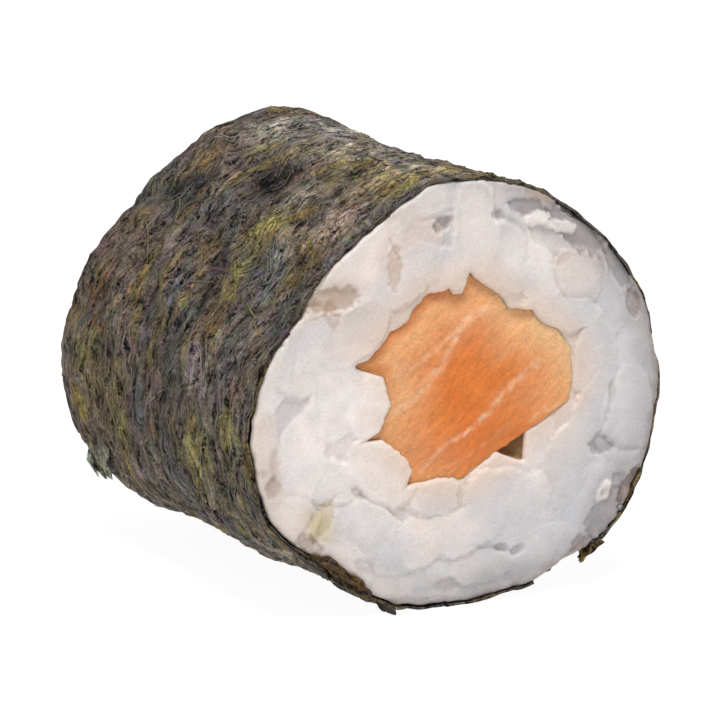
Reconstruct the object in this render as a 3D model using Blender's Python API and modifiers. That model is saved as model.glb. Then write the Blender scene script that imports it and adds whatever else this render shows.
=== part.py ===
# Salmon maki: one thin roll slice lying on its side.
# A seaweed sheet is rolled round sushi rice, and a stick of raw salmon runs through the rice.
# The roll's axis lies along Y, the cut face in view towards -Y, and Z is up.

import math
import random

import bmesh
import bpy
from mathutils import Matrix, Vector
from mathutils.geometry import intersect_point_line

MM = 0.001

# Roll
ROLL_LENGTH = 28.8 * MM
AXIS_HEIGHT = 13.94 * MM
PIECE_GAP = 0.3 * MM

# Outer radius of the seaweed in mm by clock angle, counted from +X towards +Z
FRONT_RADII = (
    (0, 14.75), (30, 14.1), (55, 13.85), (78, 13.65), (100, 13.2), (118, 12.5), (150, 12.5), (167, 13.8),
    (188, 14.8), (207, 15.2), (228, 14.4), (253, 14.35), (283, 14.4), (305, 14.7), (320, 15.45), (342, 14.95),
)
BACK_RADII = (
    (0, 14.5), (30, 14.1), (60, 14.3), (86, 14.3), (100, 13.8), (118, 13.1), (140, 12.8), (165, 14.0),
    (198, 15.35), (216, 15.5), (240, 14.65), (262, 14.4), (285, 14.5), (305, 14.7), (325, 15.1),
)

# Lumps and dents that the rice leaves in the sheet: clock angle, place along Y and height in mm,
# then the half angle and the half length in mm that each covers
SHEET_LUMPS = (
    (70, 2.0, -0.55, 32, 9.0),
    (118, -6.0, 0.25, 22, 5.0),
    (150, 4.0, 0.30, 18, 6.0),
    (182, -5.0, -0.30, 20, 7.0),
    (212, 6.0, 0.20, 18, 6.0),
    (20, 3.0, 0.20, 24, 7.0),
    (332, -3.0, -0.20, 20, 6.0),
)

# Seaweed sheet: it starts at its free outer edge and runs once round and on under itself
SHEET_THICKNESS = 0.3 * MM
LAYER_GAP = 0.15 * MM
SEAM_CLOCK = 236.0
OVERLAP_ANGLE = 56.0
TUCK_ANGLE = 34.0
SHEET_COLUMNS = 80
SHEET_ROWS = 11
NOTCH_CLOCK = 303.0
NOTCH_HALF_ANGLE = 9.0
NOTCH_DEPTH = 0.9 * MM

# Salmon stick: corners of its cut face in mm from the roll's axis, (x, z)
SALMON_CORNERS = (
    (8.0, 0.0), (7.6, 2.2), (5.4, 4.3), (2.9, 5.6), (0.8, 6.7), (-1.6, 6.3), (-3.6, 4.6), (-5.9, 2.9),
    (-4.9, 0.2), (-5.5, -2.2), (-4.0, -4.1), (-3.2, -5.6), (0.7, -5.7), (3.5, -4.1), (6.4, -2.7),
)
SALMON_RINGS = 9
SALMON_TWIST = math.radians(-9.0)
SALMON_DOME = 0.35 * MM

# Rice: a core with the grains that show at both cut faces fused on
CORE_SIDES = 60
CORE_RINGS = 7
CORE_INSET = 1.4 * MM
GRAIN_TRIES = 1800
GRAIN_LENGTHS = (3.6 * MM, 6.0 * MM)
GRAIN_WIDTHS = (2.5 * MM, 3.0 * MM)
GRAIN_TILT = math.radians(16.0)
GRAIN_DEPTH = 0.3 * MM
GRAIN_CLOSENESS = 0.7
GRAIN_TIERS = 2
TIER_DEPTH = 0.75 * MM
RANDOM_SEED = 11


def smooth_step(t):
    t = min(max(t, 0.0), 1.0)
    return t * t * (3.0 - 2.0 * t)


def radius_by_clock(pairs, clock):
    # Smooth periodic curve through (clock, radius) pairs, with slopes from the neighbours
    clock = clock % 360.0
    count = len(pairs)
    last = max(i for i in range(count) if pairs[i][0] <= clock)

    def knot(i):
        angle, radius = pairs[i % count]
        return angle + 360.0 * (i // count), radius

    (a0, r0), (a1, r1), (a2, r2), (a3, r3) = (knot(last + k) for k in (-1, 0, 1, 2))
    span = a2 - a1
    t = (clock - a1) / span
    slope_1 = (r2 - r0) / (a2 - a0) * span
    slope_2 = (r3 - r1) / (a3 - a1) * span
    blend = (2 * t ** 3 - 3 * t ** 2 + 1) * r1 + (t ** 3 - 2 * t ** 2 + t) * slope_1
    return blend + (3 * t ** 2 - 2 * t ** 3) * r2 + (t ** 3 - t ** 2) * slope_2


def roll_radius(clock, y):
    # Front outline blended into the back outline, with the soft lumps of the rice under the sheet
    t = smooth_step(y / ROLL_LENGTH + 0.5)
    radius = (1.0 - t) * radius_by_clock(FRONT_RADII, clock) + t * radius_by_clock(BACK_RADII, clock)
    for centre, along, height, half_angle, half_length in SHEET_LUMPS:
        away = abs((clock - centre + 180.0) % 360.0 - 180.0) / half_angle
        off = abs(y / MM - along) / half_length
        radius += height * smooth_step(1.0 - math.hypot(away, off))
    turn = math.radians(clock)
    ends = smooth_step((0.5 * ROLL_LENGTH - abs(y)) / (3.5 * MM))
    ripple = math.sin(8 * turn - 0.41 * y / MM - 0.9) + math.sin(5 * turn + 0.5 * y / MM)
    return (radius + 0.07 * ripple * ends) * MM


def on_clock(radius, clock, y):
    turn = math.radians(clock)
    return Vector((radius * math.cos(turn), y, radius * math.sin(turn)))


def sheet_inset(travel):
    # The sheet dives under its own free edge at the end of the first turn
    layer = SHEET_THICKNESS + LAYER_GAP
    return layer * smooth_step((travel - 360.0 + TUCK_ANGLE) / TUCK_ANGLE)


def rice_radius(clock, y):
    # Inner side of the sheet less the gap, and less the second layer where there is one
    travel = (clock - SEAM_CLOCK) % 360.0
    layer = SHEET_THICKNESS + LAYER_GAP
    after_overlap = 1.0 - smooth_step((travel - OVERLAP_ANGLE - 2.0) / 9.0)
    before_seam = smooth_step((travel - 360.0 + TUCK_ANGLE + 6.0) / TUCK_ANGLE)
    return roll_radius(clock, y) - SHEET_THICKNESS - PIECE_GAP - layer * max(after_overlap, before_seam)


def seated(point, inset):
    # The underside is pressed flat where the roll rests
    point.z = max(point.z, inset - AXIS_HEIGHT)
    return point


def salmon_outline(y, grow):
    # The stick turns a little and swells along the roll, and its edges stay wavy
    t = y / ROLL_LENGTH + 0.5
    turn = SALMON_TWIST * smooth_step(t)
    points = []
    for index, (x, z) in enumerate(SALMON_CORNERS):
        corner = Vector((x, z)) * MM
        reach = corner.length + grow + 0.2 * MM * math.sin(2.4 * index + 5.0 * t) * smooth_step(4.0 * t)
        corner = corner.normalized() * reach
        points.append(corner @ Matrix.Rotation(-turn, 2))
    return points


def loft(name, rings):
    # Closed body through rings of equal size, each a list of points that runs round the Y axis
    mesh = bmesh.new()
    loops = [[mesh.verts.new(point) for point in ring] for ring in rings]
    for near, far in zip(loops, loops[1:]):
        for i in range(len(near)):
            j = (i + 1) % len(near)
            mesh.faces.new((near[i], near[j], far[j], far[i]))
    mesh.faces.new(loops[0])
    mesh.faces.new(loops[-1])
    bmesh.ops.triangulate(mesh, faces=mesh.faces)
    bmesh.ops.recalc_face_normals(mesh, faces=mesh.faces)
    return object_from(mesh, name)


def object_from(mesh, name):
    data = bpy.data.meshes.new(name)
    mesh.to_mesh(data)
    mesh.free()
    return bpy.data.objects.new(name, data)


def material(name, colour, roughness):
    surface = bpy.data.materials.new(name)
    surface.use_nodes = True
    shader = surface.node_tree.nodes["Principled BSDF"]
    shader.inputs["Base Color"].default_value = (*colour, 1.0)
    shader.inputs["Roughness"].default_value = roughness
    shader.inputs["Metallic"].default_value = 0.0
    return surface


def front_edge_shift(clock):
    # Ragged cut of the sheet, with a torn notch at the lower right of the front rim
    turn = math.radians(clock)
    wave = 0.10 * math.sin(7 * turn + 0.6) + 0.06 * math.sin(15 * turn)
    away = abs((clock - NOTCH_CLOCK + 180.0) % 360.0 - 180.0)
    notch = NOTCH_DEPTH if away < NOTCH_HALF_ANGLE else 0.0
    return max(wave, 0.0) * MM + notch


def build_seaweed():
    mesh = bmesh.new()
    bmesh.ops.create_grid(mesh, x_segments=SHEET_COLUMNS, y_segments=SHEET_ROWS, size=0.5)
    for vert in mesh.verts:
        travel = (vert.co.x + 0.5) * (360.0 + OVERLAP_ANGLE)
        clock = SEAM_CLOCK + travel
        y = vert.co.y * ROLL_LENGTH
        inset = sheet_inset(travel)
        place = on_clock(roll_radius(clock, y) - inset, clock, y)
        if vert.co.y < -0.499:
            place.y += front_edge_shift(clock)
        vert.co = seated(place, inset)
    bmesh.ops.recalc_face_normals(mesh, faces=mesh.faces)
    middle = min(mesh.faces, key=lambda face: (face.calc_center_median() - on_clock(0.015, 90, 0)).length)
    if middle.normal.z < 0.0:
        bmesh.ops.reverse_faces(mesh, faces=mesh.faces)
    sheet = object_from(mesh, "nori")
    wall = sheet.modifiers.new("sheet thickness", "SOLIDIFY")
    wall.thickness = SHEET_THICKNESS
    wall.offset = -1.0
    wall.use_rim = True
    sheet.data.materials.append(material("dried seaweed", (0.045, 0.045, 0.035), 0.5))
    return sheet


def build_salmon():
    half = 0.5 * ROLL_LENGTH
    rings = []
    for index in range(SALMON_RINGS):
        y = -half + SALMON_DOME + (ROLL_LENGTH - 2.0 * SALMON_DOME) * index / (SALMON_RINGS - 1)
        rings.append([Vector((x, y, z)) for x, z in salmon_outline(y, 0.0)])
    # Two smaller rings at each end make the cut faces swell gently
    for end, outward in ((0, -1.0), (-1, 1.0)):
        base = rings[end]
        caps = []
        for scale, rise in ((0.86, 0.65), (0.45, 1.0)):
            shift = Vector((0.0, outward * rise * SALMON_DOME, 0.0))
            caps.append([Vector((p.x * scale, p.y, p.z * scale)) + shift for p in base])
        rings = caps[::-1] + rings if end == 0 else rings + caps
    stick = loft("salmon", rings)
    stick.data.materials.append(material("raw salmon", (0.80, 0.32, 0.12), 0.4))
    return stick


def build_rice_core():
    half = 0.5 * ROLL_LENGTH - CORE_INSET
    rings = []
    for index in range(CORE_RINGS):
        y = -half + 2.0 * half * index / (CORE_RINGS - 1)
        ring = []
        for side in range(CORE_SIDES):
            clock = 360.0 * side / CORE_SIDES
            inset = SHEET_THICKNESS * 2 + LAYER_GAP + PIECE_GAP
            ring.append(seated(on_clock(rice_radius(clock, y), clock, y), inset))
        rings.append(ring)
    return loft("rice", rings)


def edge_distance(x, z, outline):
    # Distance from a point to a closed outline
    point = Vector((x, z, 0.0))
    best = 1.0
    for a, b in zip(outline, outline[1:] + outline[:1]):
        foot, share = intersect_point_line(point, a.to_3d(), b.to_3d())
        foot = a.to_3d() if share < 0.0 else b.to_3d() if share > 1.0 else foot
        best = min(best, (point - foot).length)
    return best


def rice_room(x, z, y, hole):
    # Free distance to the sheet outside and to the salmon inside, negative past either
    clock = math.degrees(math.atan2(z, x))
    reach = math.hypot(x, z)
    to_sheet = min(rice_radius(clock, y) - reach, z + AXIS_HEIGHT - 2 * SHEET_THICKNESS - LAYER_GAP - PIECE_GAP)
    to_salmon = edge_distance(x, z, hole)
    inside = sum(
        (a.y > z) != (b.y > z) and x < (b.x - a.x) * (z - a.y) / (b.y - a.y) + a.x
        for a, b in zip(hole, hole[1:] + hole[:1])
    ) % 2
    return min(to_sheet, -to_salmon if inside else to_salmon)


def place_grains(face_y, draw):
    # Grains lie side by side over the ring of rice, the longest placed first. One that would reach
    # the sheet, the salmon or a neighbour is turned along the rim, then shortened, or else skipped
    hole = salmon_outline(face_y, PIECE_GAP)
    grains = []
    taken = []
    for attempt in range(GRAIN_TRIES):
        width = draw.uniform(*GRAIN_WIDTHS)
        share = attempt / GRAIN_TRIES
        full_length = GRAIN_LENGTHS[1] * (1.0 - share) + GRAIN_LENGTHS[0] * share
        x = draw.uniform(-15.0, 15.0) * MM
        z = draw.uniform(-14.0, 14.0) * MM
        any_turn = draw.uniform(0.0, math.pi)
        along_rim = math.atan2(x, -z)
        tilt = draw.uniform(-GRAIN_TILT, GRAIN_TILT)
        depth = draw.uniform(0.0, GRAIN_DEPTH)
        for turn, length in ((any_turn, full_length), (along_rim, full_length), (any_turn, 0.7 * full_length)):
            reach = 0.5 * (length - width)
            spots = [(x + s * reach * math.cos(turn), z + s * reach * math.sin(turn)) for s in (-1, -0.3, 0.3, 1)]
            if any(math.dist(spot, other) < GRAIN_CLOSENESS * width for spot in spots for other in taken):
                continue
            if any(rice_room(*spot, face_y, hole) < 0.42 * width for spot in spots):
                continue
            taken.extend(spots)
            grains.append(dict(x=x, z=z, width=width, length=length, turn=turn, tilt=tilt, depth=depth))
            break
    return grains


def add_grain(grain, face_y, tier, collection):
    # A blunt ellipsoid that lies nearly in the cut face, its front just at the roll's end
    inward = 1.0 if face_y < 0.0 else -1.0
    mesh = bmesh.new()
    bmesh.ops.create_uvsphere(mesh, u_segments=6, v_segments=4, radius=0.5)
    lean = 0.4 * (grain["length"] - grain["width"]) * abs(math.sin(grain["tilt"]))
    drop = 0.5 * grain["width"] + lean + grain["depth"] + tier * TIER_DEPTH
    middle = Vector((grain["x"], face_y + inward * drop, grain["z"]))
    lay = Matrix.Rotation(-grain["turn"], 4, "Y") @ Matrix.Rotation(grain["tilt"], 4, "Z")
    lay = lay @ Matrix.Rotation(math.radians(90.0), 4, "Y")
    size = Matrix.Diagonal((grain["width"], grain["width"], grain["length"], 1.0))
    bmesh.ops.transform(mesh, matrix=Matrix.Translation(middle) @ lay @ size, verts=mesh.verts)
    collection.objects.link(object_from(mesh, "grain"))


def apply_modifier(target):
    # The evaluated mesh takes the place of the object's own
    graph = bpy.context.evaluated_depsgraph_get()
    result = bpy.data.meshes.new_from_object(target.evaluated_get(graph))
    target.modifiers.clear()
    target.data = result


def drop_scraps(target):
    # Only the largest body stays: no loose crumb outside it and no sealed hollow inside it
    mesh = bmesh.new()
    mesh.from_mesh(target.data)
    bmesh.ops.dissolve_degenerate(mesh, edges=mesh.edges, dist=0.01 * MM)
    bmesh.ops.triangulate(mesh, faces=mesh.faces)
    left = set(mesh.faces)
    islands = []
    while left:
        front = [left.pop()]
        island = set(front)
        while front:
            face = front.pop()
            linked = {other for edge in face.edges for other in edge.link_faces} & left
            left -= linked
            island |= linked
            front.extend(linked)
        islands.append(island)
    keep = max(islands, key=len)
    bmesh.ops.delete(mesh, geom=[face for face in mesh.faces if face not in keep], context="FACES")
    mesh.to_mesh(target.data)
    mesh.free()


def build_rice(parts, cutters):
    draw = random.Random(RANDOM_SEED)
    core = build_rice_core()
    parts.objects.link(core)
    grains = bpy.data.collections.new("grains")
    bpy.context.scene.collection.children.link(grains)
    for face_y in (-0.5 * ROLL_LENGTH, 0.5 * ROLL_LENGTH):
        for tier in range(GRAIN_TIERS):
            for grain in place_grains(face_y, draw):
                add_grain(grain, face_y, tier, grains)
    union = core.modifiers.new("fuse grains", "BOOLEAN")
    union.operation = "UNION"
    union.operand_type = "COLLECTION"
    union.collection = grains
    apply_modifier(core)
    for grain in list(grains.objects):
        bpy.data.objects.remove(grain)
    bpy.data.collections.remove(grains)

    # The salmon's bore, a little wider than the stick and open at both faces
    bore_rings = []
    for index in range(SALMON_RINGS):
        y = -0.5 * ROLL_LENGTH + ROLL_LENGTH * index / (SALMON_RINGS - 1)
        reach = y * 1.1
        bore_rings.append([Vector((x, reach, z)) for x, z in salmon_outline(y, PIECE_GAP)])
    bore = loft("salmon bore", bore_rings)
    bore.hide_render = True
    bore.display_type = "WIRE"
    cutters.objects.link(bore)
    cut = core.modifiers.new("salmon bore", "BOOLEAN")
    cut.operation = "DIFFERENCE"
    cut.object = bore
    apply_modifier(core)
    drop_scraps(core)
    core.data.materials.clear()
    core.data.materials.append(material("cooked rice", (0.84, 0.80, 0.78), 0.45))
    return core


def seat_on_origin(pieces):
    # The origin goes to the bottom centre of the whole roll
    graph = bpy.context.evaluated_depsgraph_get()
    corners = []
    for piece in pieces:
        shape = piece.evaluated_get(graph).to_mesh()
        corners.extend(vert.co.copy() for vert in shape.vertices)
    low = Vector([min(c[i] for c in corners) for i in range(3)])
    high = Vector([max(c[i] for c in corners) for i in range(3)])
    shift = Vector((-0.5 * (low.x + high.x), -0.5 * (low.y + high.y), -low.z))
    for piece in pieces:
        piece.data.transform(Matrix.Translation(shift))


def main():
    for old in list(bpy.data.objects):
        bpy.data.objects.remove(old)
    parts = bpy.data.collections.new("salmon maki")
    cutters = bpy.data.collections.new("cutters")
    bpy.context.scene.collection.children.link(parts)
    bpy.context.scene.collection.children.link(cutters)
    rice = build_rice(parts, cutters)
    seaweed = build_seaweed()
    salmon = build_salmon()
    parts.objects.link(seaweed)
    parts.objects.link(salmon)
    bpy.context.view_layer.update()
    seat_on_origin((rice, seaweed, salmon))


main()
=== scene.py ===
# Salmon maki lying on its side: a nori sheet round sticky rice, with a stick of raw salmon through it

import math
import random

import bmesh
import bpy
from mathutils import Matrix, Vector, noise


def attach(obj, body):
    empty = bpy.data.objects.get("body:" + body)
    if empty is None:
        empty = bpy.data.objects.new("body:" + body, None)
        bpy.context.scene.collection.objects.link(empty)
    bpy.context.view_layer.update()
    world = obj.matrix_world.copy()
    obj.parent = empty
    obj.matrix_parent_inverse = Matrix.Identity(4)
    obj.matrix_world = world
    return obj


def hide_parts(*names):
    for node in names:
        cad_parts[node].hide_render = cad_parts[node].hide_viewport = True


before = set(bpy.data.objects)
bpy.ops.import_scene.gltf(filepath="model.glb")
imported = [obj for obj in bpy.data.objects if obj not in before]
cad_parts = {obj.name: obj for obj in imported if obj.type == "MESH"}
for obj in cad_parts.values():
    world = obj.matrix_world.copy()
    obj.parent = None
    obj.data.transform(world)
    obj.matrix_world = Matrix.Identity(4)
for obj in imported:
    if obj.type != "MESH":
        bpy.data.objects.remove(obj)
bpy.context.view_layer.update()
mm = 0.001

# The roll's form, nearly the same values as its solids: mm, and degrees of clock angle from +X towards +Z
roll = dict(
    length=28.8,
    axisHeight=13.94,
    sideShift=0.08,
    waveHeight=0.07,
    plainEnds=3.5,  # the waves fade out this near the cuts
    frontRadii=[
        (0, 14.85), (15, 14.62), (30, 14.15), (55, 13.74), (78, 13.62), (100, 13.2), (118, 12.5),
        (150, 12.5), (167, 13.8), (188, 14.8), (207, 15.2), (228, 14.4), (253, 14.35), (283, 14.4),
        (305, 14.7), (320, 15.45), (342, 15.03),
    ],
    backRadii=[
        (0, 14.5), (30, 14.1), (60, 14.3), (86, 14.3), (100, 13.8), (118, 13.1), (140, 12.8), (165, 14.0),
        (198, 15.15), (216, 15.4), (240, 14.65), (262, 14.4), (285, 14.5), (305, 14.7), (325, 15.1),
    ],
    # clock, place along the roll, height, then half the angle and half the length covered
    lumps=[
        (68, 3.0, -0.84, 32, 9.0), (118, -6.0, 0.25, 22, 5.0), (150, 4.0, 0.30, 18, 6.0),
        (182, -5.0, -0.30, 20, 7.0), (212, 6.0, 0.20, 18, 6.0), (20, 3.0, 0.20, 24, 7.0),
        (332, -3.0, -0.20, 20, 6.0), (75, -8.0, -0.42, 26, 9.0), (246, 8.0, -0.85, 18, 8.5),
        (247, -9.0, -0.10, 18, 8.0), (66, 9.0, -0.5, 22, 6.5), (274, -15.0, -0.5, 24, 5.0),
    ],
)
halfLength = 0.5 * roll["length"]


def ease(t):
    t = min(max(t, 0.0), 1.0)
    return t * t * (3.0 - 2.0 * t)


def blend(a, b, t):
    return a + (b - a) * t


def blendColour(a, b, t):
    return [blend(p, q, t) for p, q in zip(a, b)]


def clockGap(a, b):
    return (a - b + 180.0) % 360.0 - 180.0


def cosSin(degrees):
    return math.cos(math.radians(degrees)), math.sin(math.radians(degrees))


def inTurnedAxes(x, z, c, s):
    # A place as seen in axes turned by the angle that has this cosine and sine
    return x * c + z * s, z * c - x * s


def ovalGap(x, z, oval, grow=0.0):
    # Distance from the middle of a turned oval, 1 at its edge
    ox, oz, a, b, c, s = oval[:6]
    p, q = inTurnedAxes(x - ox, z - oz, c, s)
    return math.hypot(p / (a + grow), q / (b + grow))


def ripple(u, v, seed):
    # Smooth noise between about -0.7 and 0.7, with hills about 1 apart
    return noise.noise(Vector((u, v, seed)))


def ringRipple(clock, y, size, seed):
    # Ripple that closes round the turn: size is degrees of clock angle
    turn = math.radians(clock)
    reach = 57.3 / size  # a radian is 57.3 degrees
    return noise.noise(Vector((reach * math.cos(turn) + seed, y, reach * math.sin(turn) - seed)))


def linear(code):
    # sRGB hex to linear
    parts = [int(code[i : i + 2], 16) / 255.0 for i in (1, 3, 5)]
    return [c / 12.92 if c <= 0.04045 else ((c + 0.055) / 1.055) ** 2.4 for c in parts]


def curveByClock(pairs, clock):
    # Smooth closed curve through (clock, radius) pairs, with slopes from the neighbours
    clock = clock % 360.0
    count = len(pairs)
    last = max(i for i in range(count) if pairs[i][0] <= clock)
    knots = []
    for i in range(last - 1, last + 3):
        angle, radius = pairs[i % count]
        knots.append((angle + 360.0 * (i // count), radius))
    (a0, r0), (a1, r1), (a2, r2), (a3, r3) = knots
    span = a2 - a1
    t = (clock - a1) / span
    slope1 = (r2 - r0) / (a2 - a0) * span
    slope2 = (r3 - r1) / (a3 - a1) * span
    start = (2 * t ** 3 - 3 * t ** 2 + 1) * r1 + (t ** 3 - 2 * t ** 2 + t) * slope1
    return start + (3 * t ** 2 - 2 * t ** 3) * r2 + (t ** 3 - t ** 2) * slope2


tableStep = 0.25  # degrees
radiusTables = [
    [curveByClock(pairs, tableStep * i) for i in range(int(360 / tableStep) + 1)]
    for pairs in (roll["frontRadii"], roll["backRadii"])
]


def fromTable(table, clock):
    place = (clock % 360.0) / tableStep
    low = int(place)
    return blend(table[low], table[min(low + 1, len(table) - 1)], place - low)


def rollRadius(clock, y):
    t = ease(y / roll["length"] + 0.5)
    radius = blend(fromTable(radiusTables[0], clock), fromTable(radiusTables[1], clock), t)
    for centre, along, height, halfAngle, halfLong in roll["lumps"]:
        away = abs(clockGap(clock, centre)) / halfAngle
        off = abs(y - along) / halfLong
        if away < 1.0 and off < 1.0:
            radius += height * ease(1.0 - math.hypot(away, off))
    turn = math.radians(clock)
    ends = ease((halfLength - abs(y)) / roll["plainEnds"])
    waves = math.sin(8 * turn - 0.41 * y - 0.9) + math.sin(5 * turn + 0.5 * y)
    return radius + roll["waveHeight"] * waves * ends


def onClock(radius, clock, y):
    turn = math.radians(clock)
    return Vector((radius * math.cos(turn), y, radius * math.sin(turn)))


# Pieces are shaped in mm round the roll's axis, then moved to metres in the frame
seating = Matrix.Scale(mm, 4) @ Matrix.Translation((roll["sideShift"], 0.0, roll["axisHeight"]))


def wrapGrid(mesh, around, along, sample):
    # A flat grid bent into shape: sample(u, v) gives a point's place, its colour and its flat place, in mm
    tintLayer = mesh.verts.layers.float_color.get("tint") or mesh.verts.layers.float_color.new("tint")
    flatLayer = mesh.loops.layers.uv.get("flat") or mesh.loops.layers.uv.new("flat")
    made = bmesh.ops.create_grid(mesh, x_segments=around, y_segments=along, size=0.5)
    for vert in made["verts"]:
        u = round((vert.co.x + 0.5) * around) / around
        v = round((vert.co.y + 0.5) * along) / along
        place, tint, flat = sample(u, v)
        vert.co = place
        vert[tintLayer] = (*tint, 1.0)
        for loop in vert.link_loops:
            loop[flatLayer].uv = flat


mergeDistance = 0.0002  # mm


def closeSeams(mesh):
    # Points that meet become one, then every face looks outwards
    bmesh.ops.remove_doubles(mesh, verts=mesh.verts, dist=mergeDistance)
    bmesh.ops.recalc_face_normals(mesh, faces=mesh.faces)
    if mesh.calc_volume(signed=True) < 0.0:
        bmesh.ops.reverse_faces(mesh, faces=mesh.faces)


def addObject(mesh, name, finish):
    data = bpy.data.meshes.new(name)
    mesh.to_mesh(data)
    mesh.free()
    data.materials.append(finish)
    made = bpy.data.objects.new(name, data)
    bpy.context.scene.collection.objects.link(made)
    return made


def finishPiece(mesh, name, node, finish):
    bmesh.ops.transform(mesh, matrix=seating, verts=mesh.verts)
    piece = addObject(mesh, name, finish)
    piece.data.shade_smooth()
    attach(piece, "root")
    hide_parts(node)
    return piece


def giveWall(piece, thickness, offset):
    wall = piece.modifiers.new("wall", "SOLIDIFY")
    wall.thickness = thickness * mm
    wall.offset = offset
    wall.use_rim = True


def addNode(tree, kind, values=None, links=None):
    # values: the node's own settings and its sockets' values
    # links: socket to the output that feeds it, or to a node, which stands for its first output
    node = tree.nodes.new("ShaderNode" + kind)
    for name, value in (values or {}).items():
        if isinstance(name, str) and hasattr(node, name):
            setattr(node, name, value)
        else:
            node.inputs[name].default_value = value
    for name, source in (links or {}).items():
        output = source.outputs[0] if isinstance(source, bpy.types.Node) else source
        tree.links.new(output, node.inputs[name])
    return node


def newMaterial(name):
    surface = bpy.data.materials.new(name)
    surface.use_nodes = True
    tree = surface.node_tree
    tree.nodes.clear()
    return surface, tree


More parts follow.
